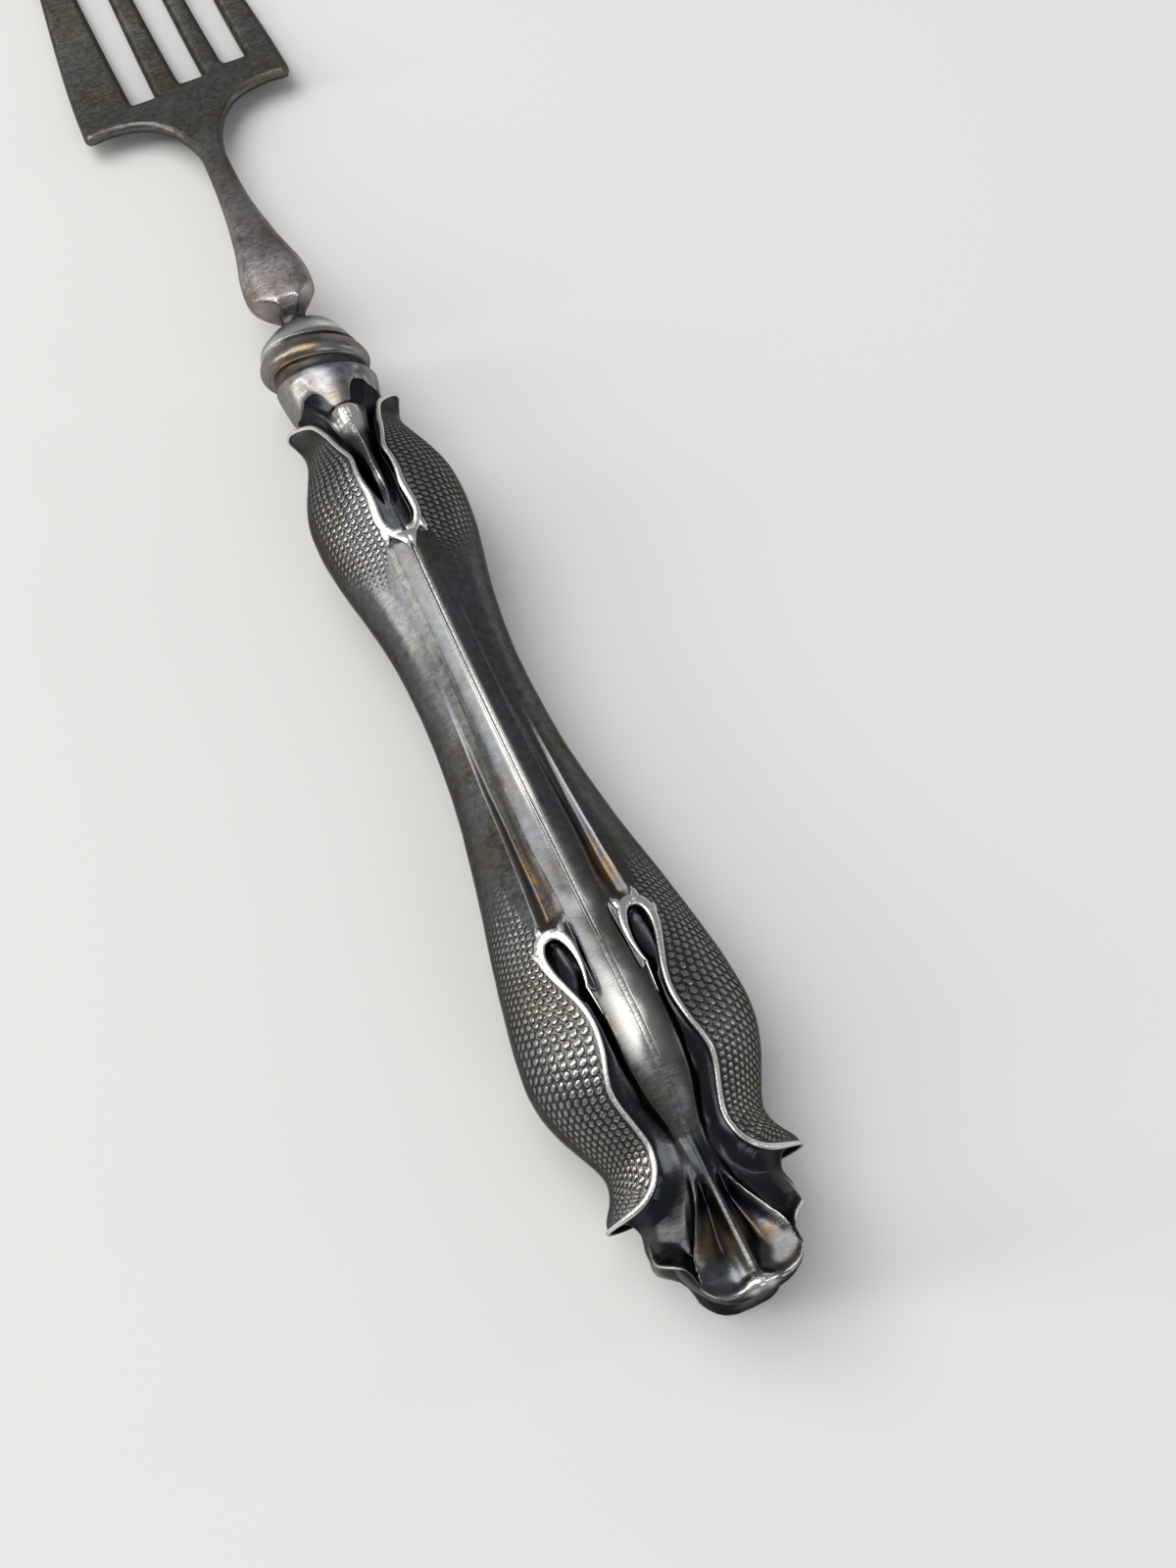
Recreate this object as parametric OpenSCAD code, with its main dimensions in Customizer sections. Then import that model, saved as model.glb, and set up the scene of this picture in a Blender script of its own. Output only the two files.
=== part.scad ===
// Oyster fork with a hollow handle.
// The fork lies face up. +Y runs along it to the tips of the tines, +X is to the right and +Z is up.
// The origin is on the surface that the fork lies on, below the middle of its length.
// Places along the fork are measured from the end of the handle.

/* [Handle] */
// From the end of the handle to the lower edge of its collar
handle_len = 75; // [70:0.1:80]
// Width over the lower leaves, the widest place of the handle
bulge_w = 17.3; // [15:0.1:20]
// Thickness over the lower leaves, front to back
bulge_t = 14; // [12:0.1:16]
// Width of the waist
waist_w = 8.4; // [7.6:0.1:10]
// Thickness of the waist, front to back
waist_t = 8.2; // [7.6:0.1:10]
// Width over the upper leaves
crown_w = 12.1; // [11:0.1:14]
// Thickness over the upper leaves, front to back
crown_t = 10.8; // [10:0.1:13]
// Width of the handle below the widest place, beside the tips of the lower leaves
nip_w = 12; // [10.5:0.1:13]
// Thickness of the handle there, front to back
nip_t = 9.8; // [9:0.1:11]
// Thinnest wall of the two stamped shells
shell_wall = 0.5; // [0.3:0.05:0.7]
// Width of the solder line between the shells
seam_w = 0.4; // [0.3:0.05:0.7]
// How far the solder stands above the shells
seam_proud = 0.08; // [0.02:0.01:0.15]

/* [Leaves, flutes and petals] */
// Place of the lower leaf tips
leaf_tip_at = 8.4; // [7.6:0.1:9.4]
// Place of the widest part of the lower leaves
bulge_at = 18.9; // [17.5:0.1:20.5]
// Place of the tops of the lower loops
loop_at = 27.9; // [26.5:0.1:29.5]
// Waist, as a share of the way from the lower loops to the loop between the upper leaves
waist_share = 0.62; // [0.5:0.01:0.7]
// From the foot of the loop between the upper leaves to the collar
eye_below = 14.8; // [13.5:0.1:16]
// From the widest part of the upper leaves to the collar
crown_below = 10.8; // [9.5:0.1:12]
// Depth of the channels beside the lower stem
channel_deep = 1.3; // [0.8:0.05:1.5]
// Depth of the channel between the upper leaves
eye_deep = 1.1; // [0.6:0.05:1.3]
// Depth of the flutes where they run into the loops
flute_deep = 0.8; // [0.4:0.05:1]
// Height of the rolled rims on the edges of the leaves
rim_high = 0.3; // [0.1:0.02:0.45]
// How far the tips of the lower leaves flare out
low_flare = 1.3; // [0.5:0.1:1.8]
// How far the tips of the upper leaves flare out
top_flare = 1; // [0.4:0.1:1.4]
// Width over the side petals of the end
petal_w = 11.6; // [10:0.1:13]
// Thickness over the front and back petals of the end
petal_t = 11.4; // [10:0.1:12.5]
// Depth of the hollow of each petal
petal_deep = 0.75; // [0.3:0.05:1]
// How far the side petals are set back from the end
petal_back = 4.4; // [3.5:0.1:5.5]

/* [Ferrule] */
// Diameter of the collar
collar_d = 7.8; // [7.2:0.1:8.6]
// Length of the collar
collar_len = 3.4; // [2.6:0.1:4.5]
// Diameter of the ring between collar and cap
ring_d = 8.5; // [8:0.1:9.6]
// Length of the ring
ring_len = 2.5; // [1.8:0.1:3]
// Radius of the domed cap
cap_r = 3.6; // [3.3:0.1:3.9]
// Height of the domed cap above the ring
cap_high = 2.4; // [1.8:0.1:2.6]
// Wall of the collar, ring and cap
band_wall = 0.55; // [0.4:0.05:0.7]
// Gap between pieces that are fitted and soldered or cemented
fit_gap = 0.04; // [0.02:0.01:0.08]

/* [Neck] */
// Length of the neck, from the cap to the shoulders
neck_len = 28; // [24:0.1:34]
// Width of the faceted swelling
knop_w = 5.7; // [4.6:0.1:7]
// Thickness of the faceted swelling
knop_t = 4.2; // [3.4:0.1:5.4]
// Width of the neck where it meets the cap
foot_w = 2.7; // [2.5:0.1:3]
// Width of the neck's slim end
neck_w = 2.1; // [1.7:0.1:2.8]
// Thickness of the neck's slim end
neck_t = 1.9; // [1.6:0.1:2.6]
// Diameter of the tang inside the handle
tang_d = 2.2; // [1.8:0.1:2.4]
// Length of the tang below the top of the cap
tang_len = 36; // [24:0.5:42]

/* [Tines] */
// Width of the head at the shoulders
head_w = 18.9; // [17:0.1:21]
// Width of the head at the tips
tip_span = 13.8; // [12:0.1:16]
// From the lower edge of the shoulders to the foot of the first slot
shoulder_len = 2.4; // [2:0.1:4]
// Length of the tines, from the foot of the first slot to the tips
tine_len = 31; // [26:0.1:38]
// Width of each slot
slot_w = 2.2; // [1.8:0.05:2.5]
// How much further up each next slot starts
slot_step = 0.6; // [0:0.05:0.9]
// Width of the broad left tine at its foot
blade_w = 4.9; // [4:0.1:5.4]
// Thickness of the head at the shoulders
head_t = 1.7; // [1.4:0.05:2.2]
// Thickness of the tines at their tips
tip_t = 1; // [0.8:0.05:1.3]
// Height of the tips above the surface that the fork lies on
tip_rise = 3.6; // [2:0.1:5]
// Length of the flat on the back of the tines that the fork rests on
rest_len = 6; // [4:0.1:8]

/* [Hidden] */

// Half a cosine wave: 0 up to a, 1 from b on, pulled to one side by the power p
function ease(a, b, v, p = 1) = (1 - cos(180 * pow(min(1, max(0, (v - a) / (b - a))), p))) / 2;
// A hump of height 1 at c, w wide each way
function hump(c, w, v) = exp(-pow((v - c) / w, 2));
// Straight lines through a table of [place, value]
function table(t, v, i = 0) =
    v <= t[i][0] || i == len(t) - 1 ? t[i][1]
    : v >= t[i + 1][0] ? table(t, v, i + 1)
    : t[i][1] + (t[i + 1][1] - t[i][1]) * (v - t[i][0]) / (t[i + 1][0] - t[i][0]);
// A smooth value through five stations of the handle: nip, bulge, waist, crown and top
function stations(s, v) =
    s < bulge_at ? v[0] + (v[1] - v[0]) * ease(nip_at, bulge_at, s, 0.75)
    : s < waist_at ? v[1] + (v[2] - v[1]) * ease(bulge_at, waist_at, s, 0.8)
    : s < crown_at ? v[2] + (v[3] - v[2]) * ease(waist_at, crown_at, s, 1.3)
    : v[3] + (v[4] - v[3]) * ease(crown_at, top_at, s, 1.15);

axis_z = bulge_t / 2 + seam_proud;
eye_at = handle_len - eye_below;
crown_at = handle_len - crown_below;
waist_at = loop_at + (eye_at - loop_at) * waist_share;
ring_at = handle_len + collar_len;
cap_at = ring_at + ring_len;
neck_at = cap_at + cap_high;
shoulder_at = neck_at + neck_len;
slots_at = shoulder_at + shoulder_len;
tips_at = slots_at + tine_len;
mid_at = tips_at / 2;

collar_r = collar_d / 2;
bore_r = collar_r - band_wall;
spigot_r = bore_r - fit_gap;
spigot_len = collar_len - band_wall;
tang_r = tang_d / 2;

// Where the lower leaves are nipped in above their tips, and where the upper leaves end
nip_at = leaf_tip_at + (bulge_at - leaf_tip_at) * 0.26;
top_at = handle_len - (handle_len - crown_at) * 0.18;
top_r = spigot_r + fit_gap + band_wall / 2;

// Angles go from 0 at the middle of the front or back to 90 at the side.
// Edges of the channel beside the lower stem, by share of the way from the leaf tips to the loops
stem_shares = [[0, 5], [0.15, 9], [0.35, 12], [0.6, 12], [0.85, 10], [1, 10]];
low_rim_shares = [[0, 33], [0.08, 26], [0.16, 24], [0.26, 26.5], [0.34, 27.5], [0.42, 25.5], [0.48, 21.5],
    [0.56, 19], [0.66, 20.5], [0.76, 24.5], [0.87, 29.5], [0.94, 33], [1, 33]];
// Edge of the channel between the upper leaves, by share of the way from its foot to the collar
top_rim_shares = [[0, 9], [0.06, 12], [0.14, 11], [0.2, 9], [0.29, 11], [0.39, 12.5], [0.45, 11.5],
    [0.52, 13], [0.58, 20], [0.68, 28], [0.78, 40], [0.84, 52], [1, 60]];
// Edges of the leaves by angle: the upper leaves from the collar, the lower leaves from their tips,
// and the length over which the lower ones drop to the petals
brow_shares = [[20, 0.5], [30, 0.4], [42, 0.27], [60, 0.2], [90, 0.17]];
foot_shares = [[20, 0.5], [27, 0.4], [35, 0.25], [45, 0.05], [60, -0.05], [90, 0]];
drop_shares = [[0, 0.34], [20, 0.34], [32, 0.12]];
function top_edge(a) = handle_len - (handle_len - crown_at) * table(brow_shares, a);
function foot_edge(a) = leaf_tip_at + (nip_at - leaf_tip_at) * table(foot_shares, a);
function foot_soft(a) = leaf_tip_at * table(drop_shares, a);

loop_half = (loop_at - leaf_tip_at) * 0.1;
eye_half = (handle_len - eye_at) * 0.1;
function way(s) = (s - leaf_tip_at) / (loop_at - leaf_tip_at);
// Middle and half width of the lower channel, which closes as a round loop at its top
function channel_mid(s) = (table(stem_shares, way(s)) + table(low_rim_shares, way(s))) / 2;
function channel_half(s) = s > loop_at ? 0.01
    : (table(low_rim_shares, way(s)) - table(stem_shares, way(s))) / 2
        * sqrt(max(0, 1 - pow(max(0, (s - loop_at + loop_half) / loop_half), 2)));
function eye_share(s) = (s - eye_at) / (handle_len - eye_at);
function eye_edge(s) = s < eye_at ? 0.01
    : table(top_rim_shares, eye_share(s))
        * sqrt(1 - pow(max(0, (eye_at + eye_half - s) / eye_half), 2));
// How far inside its edge a point lies, as 0 outside to 1 well inside, over an edge band of soft degrees
function inside(d, soft) = min(1, max(0, d / soft + 0.5));

// Relief of the channels, flutes, stem and rims, as a height to add to the smooth form
function low_relief(a, s) =
    let (d = channel_half(s) - abs(a - channel_mid(s)),
        open = s > leaf_tip_at ? inside(d, 5) : 0,
        rim = s > leaf_tip_at && s < loop_at + loop_half && a > channel_mid(s) ? hump(-2.5, 2.5, d) : 0,
        arch = hump(loop_at + loop_half / 2, loop_half / 2, s) * hump(21, 13, a))
    rim_high * max(rim, arch) - channel_deep * open * ease(loop_at, loop_at - 3 * loop_half, s, 0.4);
function flute_relief(a, s) =
    s < loop_at || s > eye_at ? 0
    : -flute_deep * hump(21, 8, a) * ease(eye_at, loop_at, s, 0.9)
        * ease(loop_at, loop_at + loop_half, s);
function top_relief(a, s) =
    let (d = eye_edge(s) - a,
        open = s > eye_at ? inside(d, 5) : 0,
        bud = hump(0, 1.5 + 8 * max(0, eye_share(s)), a) * ease(0.1, 0.5, eye_share(s)),
        rim = s > eye_at - eye_half ? hump(-2.5, 2.5, d) : 0)
    rim_high * rim * ease(handle_len, top_at, s) - eye_deep * open * (1 - 0.8 * bud);

// Half width and half thickness of the leaves, waist and crown, with the flared tips
function leaf_x(a, s) = stations(s, [nip_w, bulge_w, waist_w, crown_w, 2 * top_r] / 2)
    + low_flare * hump(leaf_tip_at, 0.5 * (nip_at - leaf_tip_at), s) * ease(40, 90, a)
    + top_flare * hump(top_at, 0.5 * (handle_len - top_at), s) * ease(40, 90, a);
function leaf_z(s) = stations(s, [nip_t, bulge_t, waist_t, crown_t, 2 * top_r] / 2);

// The petalled end. Its edge lies at the end in front and further back at the sides.
function lip_at(a) = petal_back * (a < 45 ? 0.6 * pow(a / 45, 2.5) : 0.6 + 0.4 * ease(45, 72, a));
// Angle of the ridge between the front and the side petal
ridge_shares = [[0.2, 45], [0.5, 30], [0.75, 20], [1, 10]];
function ridge_angle(s) = table(ridge_shares, s / leaf_tip_at);
function petal_x(s) = petal_w / 2 - (petal_w - nip_w * 0.8) / 2 * ease(petal_back, leaf_tip_at, s)
    - petal_w * 0.13 * ease(petal_back, 0, s);
function petal_z(s) = petal_t / 2 - (petal_t - nip_t * 0.86) / 2 * ease(0, leaf_tip_at, s);
// Power that squares the corners between the petals, 1 for a plain ellipse
function squaring(s) = 1 - 0.6 * ease(nip_at, petal_back, s);
function petal_relief(a, s) =
    let (r = ridge_angle(s),
        u = a < r ? 2 * abs(a / r - 0.5) : abs((a - (90 + r) / 2) / ((90 - r) / 2)),
        side = a > r)
    -petal_deep * (1 - pow(u, side ? 4 : 2)) * ease(nip_at, leaf_tip_at / 2, s) * (side ? 1 : 0.7);

// One point of the outside: across, front to back, at angle a and place s
function outside(a, s) =
    let (leaf = s > crown_at ? inside(top_edge(a) - s, top_soft) : inside(s - foot_edge(a), foot_soft(a)),
        relief = low_relief(a, s) + flute_relief(a, s) + top_relief(a, s),
        base = s > crown_at ? [top_r - top_soft / 4, top_r - top_soft / 4] : [petal_x(s), petal_z(s)],
        under = s > crown_at ? 0 : petal_relief(a, s),
        half = [leaf_x(a, s), leaf_z(s)] + [relief, relief],
        low = base + [under, under],
        whole = half * leaf + low * (1 - leaf),
        square = 1 - (1 - squaring(s)) * (1 - leaf))
    [whole[0] * pow(sin(a), square), whole[1] * pow(cos(a), square)];
top_soft = (handle_len - crown_at) * 0.08;

// The smooth inside of the shells
core_at = leaf_tip_at * 0.45;
function inner(a, s) =
    let (end = ease(core_at - leaf_tip_at * 0.2, nip_at, s),
        deep = shell_wall + channel_deep,
        half_x = stations(s, [nip_w / 2 - 2 * deep + shell_wall, bulge_w / 2 - deep, waist_w / 2 - deep,
            crown_w / 2 - deep, spigot_r - shell_wall]),
        half_z = stations(s, [nip_t / 2 - deep, bulge_t / 2 - deep, waist_t / 2 - deep,
            crown_t / 2 - deep, spigot_r - shell_wall]))
    [half_x * sin(a), half_z * cos(a)] * (0.75 + 0.25 * end);

// Lines along the handle that follow the edges of the stem, channels, petals and rims.
// Near edge and far edge of the hollow at each place, as angles from the middle of the front.
rise = 2 * loop_half;
function near_edge(s) =
    s < leaf_tip_at ? ridge_angle(s)
    : s < loop_at ? channel_mid(s) - max(0.5, channel_half(s))
    : s < waist_at ? 21 - 0.5 - 10 * ease(loop_at, loop_at + rise, s)
    : 0.35 * far_edge(s);
function far_edge(s) =
    s < leaf_tip_at ? (ridge_angle(s) * 2 + 90) / 3
    : s < loop_at ? channel_mid(s) + max(0.5, channel_half(s))
    : s < waist_at ? 21 + 0.5 + 10 * ease(loop_at, loop_at + rise, s)
    : s < eye_at ? 2 + 29.5 * ease(eye_at, waist_at, s, 0.4)
    : max(2, eye_edge(s));
side_shares = [0.1, 0.22, 0.36, 0.5, 0.66, 0.83, 1];
side_count = 7 + len(side_shares);
function line_angle(i, s) =
    let (near = near_edge(s), far = far_edge(s), half = (far - near) / 2, soft = min(2.5, near * 0.45, half * 0.5),
        out = min(far + 6, far + (90 - far) * 0.15))
    i == 0 ? 0
    : i == 1 ? (near - soft) / 2
    : i == 2 ? near - soft
    : i == 3 ? near + soft
    : i == 4 ? near + half
    : i == 5 ? far - soft
    : i == 6 ? far + min(2.5, (out - far) / 2)
    : out + (90 - out) * side_shares[i - 7];

// Rows across the handle as [zone, share]. Petals up to the leaves' foot edge, the leaves' lip up to the nip,
// the straight part, the upper leaves up to their edge, and the hollow beyond them up to the collar.
function spread(a, b, n) = [for (i = [0:n - 1]) a + (b - a) * i / n];
shelf_at = (crown_at + top_at) / 2 - top_soft;
function place(row, a) =
    row[0] == 0 ? lip_at(a) + (foot_edge(a) - foot_soft(a) / 2 - lip_at(a)) * row[1]
    : row[0] == 1 ? let (top = foot_edge(a) + foot_soft(a) / 2) row[1] < 0
        ? foot_edge(a) + foot_soft(a) * (row[1] + 0.5)
        : top + (nip_at - top) * row[1]
    : row[0] == 2 ? row[1]
    : row[0] == 3 ? shelf_at + (top_edge(a) - top_soft / 2 - shelf_at) * row[1]
    : top_edge(a) + top_soft / 2 + (handle_len - top_edge(a) - top_soft / 2) * row[1];
cap_shares = [0.35, 0.65, 0.85, 0.96];
petal_shares = [0, 0.12, 0.28, 0.46, 0.64, 0.82, 1];
hollow_shares = [0, 0.3, 0.65, 1];
body_rows = concat([for (v = petal_shares) [0, v]], [for (v = [-0.6, -0.3, 0, 0.3, 0.65]) [1, v]],
    [for (v = concat(spread(nip_at, loop_at - loop_half, 14), spread(loop_at - loop_half, loop_at + rise, 8),
        spread(loop_at + rise, eye_at - eye_half, 8), spread(eye_at - eye_half, eye_at + rise, 8),
        spread(eye_at + rise, shelf_at, 4))) [2, v]],
    [for (v = spread(0, 1, 5)) [3, v]], [[3, 1]], [for (v = hollow_shares) [4, v]]);
turns = [for (i = [0:2 * side_count - 2]) i < side_count ? [i, 1] : [2 * side_count - 2 - i, -1]];

// A point of line t and row, where the seam's half width is kept clear at front and back
function set_out(p, t, s) = [seam_w / 2 + p[0] * (1 - seam_w / bulge_w), s, p[1] * t[1]];
function row_angle(t, row) = line_angle(t[0], place(row, line_angle(t[0], place(row, 45))));
function row_point(t, row) =
    let (a = row_angle(t, row), s = place(row, a))
    set_out(outside(a, s), t, s);
function cap_point(t, k) =
    let (a = row_angle(t, [0, 0]), lip = lip_at(a), p = outside(a, lip))
    set_out(p * k, t, end_in + (lip - end_in) * pow(k, 3));
end_in = petal_back * 0.2;
function spigot_point(t, s) =
    let (a = line_angle(t[0], handle_len))
    set_out([spigot_r * sin(a) - seam_w / 2, spigot_r * cos(a)], t, s);
outer_rows = concat(
    [for (k = cap_shares) [for (t = turns) cap_point(t, k)]],
    [for (v = body_rows) [for (t = turns) row_point(t, v)]],
    [for (s = [handle_len + fit_gap, handle_len + spigot_len]) [for (t = turns) spigot_point(t, s)]]);
inner_places = concat(spread(core_at, nip_at, 3), spread(nip_at, handle_len, 16),
    [handle_len, handle_len + spigot_len]);
inner_turns = [for (i = [0:2:len(turns) - 1]) turns[i]];
function inner_angle(t) = 90 * t[0] / (side_count - 1);
inner_rows = [for (s = inner_places) [for (t = inner_turns) set_out(inner(inner_angle(t), s), t, s)]];

// The inner row that an outer row is joined to in the seam's face. Row -1 is the pole of the end.
function partner(j, top, k = 0) =
    j < 0 || outer_rows[j][0][1] < core_at / 2 ? -1
    : j == len(outer_rows) - 1 ? top
    : k == top || inner_places[k + 1] > outer_rows[j][0][1] ? k
    : partner(j, top, k + 1);
// Triangles of the seam's face between outer rows j and j + 1, each corner as [skin, row]
function seam_faces(j, top) =
    let (from = partner(j, top), to = partner(j + 1, top))
    concat([[[0, j], [1, from], [0, j + 1]]],
        [for (k = [from:1:to - 1]) [[0, j + 1], [1, k], [1, k + 1]]]);

// Half shell on the +X side: outer skin, inner skin, the ring at the top and the flat seam face
module half_shell() {
    n = len(turns);
    m = len(inner_turns);
    rows = len(outer_rows);
    inner_count = len(inner_rows);
    first_inner = rows * n;
    outer_pole = first_inner + inner_count * m;
    inner_pole = outer_pole + 1;
    points = concat([for (r = outer_rows) for (p = r) p], [for (r = inner_rows) for (p = r) p],
        [[seam_w / 2, end_in, 0], [seam_w / 2, core_at, 0]]);
    function outer(j, i) = j * n + i;
    function inner_at(j, i) = first_inner + j * m + i;
    skin = [for (j = [0:rows - 2]) for (i = [0:n - 2]) for (h = [0, 1]) h == 0
        ? [outer(j, i), outer(j + 1, i), outer(j + 1, i + 1)]
        : [outer(j, i), outer(j + 1, i + 1), outer(j, i + 1)]];
    skin_end = [for (i = [0:n - 2]) [outer_pole, outer(0, i), outer(0, i + 1)]];
    lining = [for (j = [0:inner_count - 2]) for (i = [0:m - 2]) for (h = [0, 1]) h == 0
        ? [inner_at(j, i), inner_at(j + 1, i + 1), inner_at(j + 1, i)]
        : [inner_at(j, i), inner_at(j, i + 1), inner_at(j + 1, i + 1)]];
    lining_end = [for (i = [0:m - 2]) [inner_pole, inner_at(0, i + 1), inner_at(0, i)]];
    last = rows - 1;
    top = inner_count - 1;
    ring = [for (k = [0:m - 2]) for (h = [0:2])
        h == 0 ? [outer(last, 2 * k), inner_at(top, k), outer(last, 2 * k + 1)]
        : h == 1 ? [outer(last, 2 * k + 1), inner_at(top, k + 1), outer(last, 2 * k + 2)]
        : [outer(last, 2 * k + 1), inner_at(top, k), inner_at(top, k + 1)]];
    // The flat face beside the solder, in triangles between the two skins, for the front and the back
    seam_face = [for (back = [0, 1]) for (j = [-1:last - 1]) for (f = seam_faces(j, top))
        let (in_turn = back * (m - 1), out_turn = back * (n - 1),
            face = [for (q = f) q[0] == 0 ? (q[1] < 0 ? outer_pole : outer(q[1], out_turn))
                : (q[1] < 0 ? inner_pole : inner_at(q[1], in_turn))])
        back == 0 ? face : [face[0], face[2], face[1]]];
    polyhedron(points, concat(skin, skin_end, lining, lining_end, ring, seam_face));
}

module placed() {
    translate([0, -mid_at, axis_z]) children();
}

module left_shell() {
    color("#5b5854") placed() mirror([1, 0, 0]) half_shell();
}

module right_shell() {
    color("#5b5854") placed() half_shell();
}

// A flat half strip of solder that fills the line between the shells, from the middle of the end to the collar
module seam_strip() {
    skin = [for (r = outer_rows) [r[0][1], r[0][2] + seam_proud]];
    last = len(skin) - 1;
    edge = [for (j = [0:last]) j > last - 2 ? skin[j] - [0, seam_proud] : skin[j]];
    lining = [for (j = [len(inner_rows) - 1:-1:0]) [inner_rows[j][0][1], inner_rows[j][0][2]]];
    outline = concat([[end_in, 0]], edge, lining, [[core_at, 0]]);
    rotate([90, 0, 90]) linear_extrude(seam_w, center = true) polygon(outline);
}

module front_seam() {
    color("#c9c6bd") placed() seam_strip();
}

module back_seam() {
    color("#c9c6bd") placed() mirror([0, 0, 1]) seam_strip();
}

// Cement that fills the shells and holds the tang in its round hole
core_places = concat([core_at + fit_gap], [for (i = [1:len(inner_places) - 1]) inner_places[i]]);
function core_point(t, s) =
    let (a = inner_angle(t), p = inner(a, s))
    set_out([p[0] - fit_gap * sin(a), p[1] - fit_gap * cos(a)], t, s);
core_rows = [for (s = core_places) concat(
    [for (t = inner_turns) core_point(t, s)],
    [for (i = [len(inner_turns) - 1:-1:0])
        let (p = core_point(inner_turns[i], s)) [-p[0], p[1], p[2]]])];

module loft(rows) {
    n = len(rows[0]);
    last = len(rows) - 1;
    walls = [for (j = [0:last - 1]) for (i = [0:n - 1]) for (h = [0, 1])
        let (k = (i + 1) % n) h == 0
            ? [j * n + i, (j + 1) * n + i, (j + 1) * n + k]
            : [j * n + i, (j + 1) * n + k, j * n + k]];
    ends = [[for (i = [0:n - 1]) i], [for (i = [n - 1:-1:0]) last * n + i]];
    polyhedron([for (r = rows) for (p = r) p], concat(walls, ends));
}

module cement_core() {
    color("#6b5f52") placed() difference() {
        loft(core_rows);
        translate([0, neck_at - tang_len - fit_gap, 0]) rotate([-90, 0, 0])
            cylinder(h = tang_len, r = tang_r + fit_gap, $fn = 48);
    }
}

// Turned pieces stand on the axis of the handle, with a profile of radius and place
module turned() {
    placed() rotate([-90, 0, 0]) rotate_extrude($fn = 96) children();
}

function arc(c, rx, ry, from, to, n) =
    [for (i = [0:n]) let (a = from + (to - from) * i / n) c + [rx * cos(a), ry * sin(a)]];

// The collar narrows a little towards the leaves
module collar() {
    belly = band_wall * 0.35;
    color("#b9b6ae") turned() polygon(concat(
        [[bore_r, handle_len]],
        arc([collar_r - belly, handle_len + collar_len * 0.55], belly, collar_len * 0.55, -80, 75, 10),
        [[collar_r - belly, ring_at], [bore_r, ring_at]]));
}

// The ring has a stepped upper edge, a full round belly and an undercut below it
module ring() {
    step_r = collar_r - band_wall * 0.3;
    belly = ring_d / 2 - step_r;
    color("#8f8b84") turned() polygon(concat(
        [[bore_r, ring_at], [step_r, ring_at]],
        arc([step_r, ring_at + ring_len * 0.48], belly, ring_len * 0.4, -90, 90, 14),
        [[step_r, cap_at], [bore_r, cap_at]]));
}

// The stamped cap is a dome with a hole for the tang
foot_r = foot_w / 2;
cap_mid = neck_at - sqrt(cap_r * cap_r - foot_r * foot_r);
module cap() {
    hole_r = tang_r + fit_gap;
    inside_r = cap_r - band_wall;
    low = asin((cap_at - cap_mid) / cap_r);
    high = acos(foot_r / cap_r);
    low_in = asin((cap_at - cap_mid) / inside_r);
    high_in = acos(hole_r / inside_r);
    color("#a19d95") turned() polygon(concat(
        arc([0, cap_mid], cap_r, cap_r, low, high, 12),
        [[hole_r, neck_at]],
        arc([0, cap_mid], inside_r, inside_r, high_in, low_in, 12)));
}

// Height of the head's underside and thickness at a place, relative to the surface that the fork lies on
rest_from = slots_at + tine_len * 0.3;
rest_to = rest_from + rest_len;
function head_thick(s) = head_t - (head_t - tip_t) * ease(slots_at, tips_at, s);
function spine(s) = axis_z - (axis_z - head_t / 2) * ease(neck_at, rest_from, s);
function underside(s) = s < rest_from ? spine(s) - head_t / 2
    : tip_rise * pow(max(0, (s - rest_to) / (tips_at - rest_to)), 1.8);

// The neck: bevelled sections with flat faces from the cap to the shoulders, by share of the neck's length
neck_end_share = 0.86;
plate_share = 0.66;
knop_shares = [[0, 0], [0.08, 0.08], [0.125, 0.6], [0.15, 0.9], [0.185, 1], [0.23, 0.93], [0.32, 0.7],
    [0.41, 0.46], [0.5, 0.26], [0.6, 0.13], [0.72, 0.05], [neck_end_share, 0]];
function neck_row(k) =
    let (s = neck_at + neck_len * k[0],
        slim = ease(0.1, 0.3, k[0]),
        w = foot_w + (neck_w - foot_w) * slim + (knop_w - neck_w) * k[1],
        t = foot_w + (neck_t - foot_w) * slim + (knop_t - neck_t) * k[1],
        bevel = min(w, t) * 0.3,
        x = w / 2,
        z = t / 2)
    [for (p = [[x - bevel, z], [x, z - bevel], [x, bevel - z], [x - bevel, -z], [bevel - x, -z],
        [-x, bevel - z], [-x, z - bevel], [bevel - x, z]]) [p[0], s, p[1] + spine(s) - axis_z]];

// Plan of the shoulders and the outer edges
fillet_w = head_w * 0.35;
fillet_at = neck_at + neck_len * 0.76;
corner_drop = shoulder_len * 0.1;
function outer_edge(s) = head_w / 2 - (head_w - tip_span) / 2 * ease(shoulder_at, tips_at, s, 0.95);
shoulder_line = concat(
    [[neck_w * 0.4, neck_at + neck_len * plate_share], [neck_w * 0.4, fillet_at - head_t]],
    [for (i = [0:10]) let (a = i * 9)
        [neck_w / 2 + (fillet_w - neck_w / 2) * (1 - cos(a)),
            fillet_at + (shoulder_at - fillet_at) * sin(a)]],
    [[head_w / 2 - corner_drop, shoulder_at - corner_drop],
        [head_w / 2, shoulder_at + corner_drop]]);
blade_foot = outer_edge(slots_at) - blade_w;
slot_mid_shares = [[0, 0], [1, 0.54], [2, 1]];
first_slot = -blade_foot + slot_w / 2;
last_slot = outer_edge(slots_at) - blade_w * 0.57 - slot_w / 2;
function slot_mid(i) = first_slot + (last_slot - first_slot) * table(slot_mid_shares, i);
function slot_foot(i) = slots_at + slot_step * i;

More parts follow.
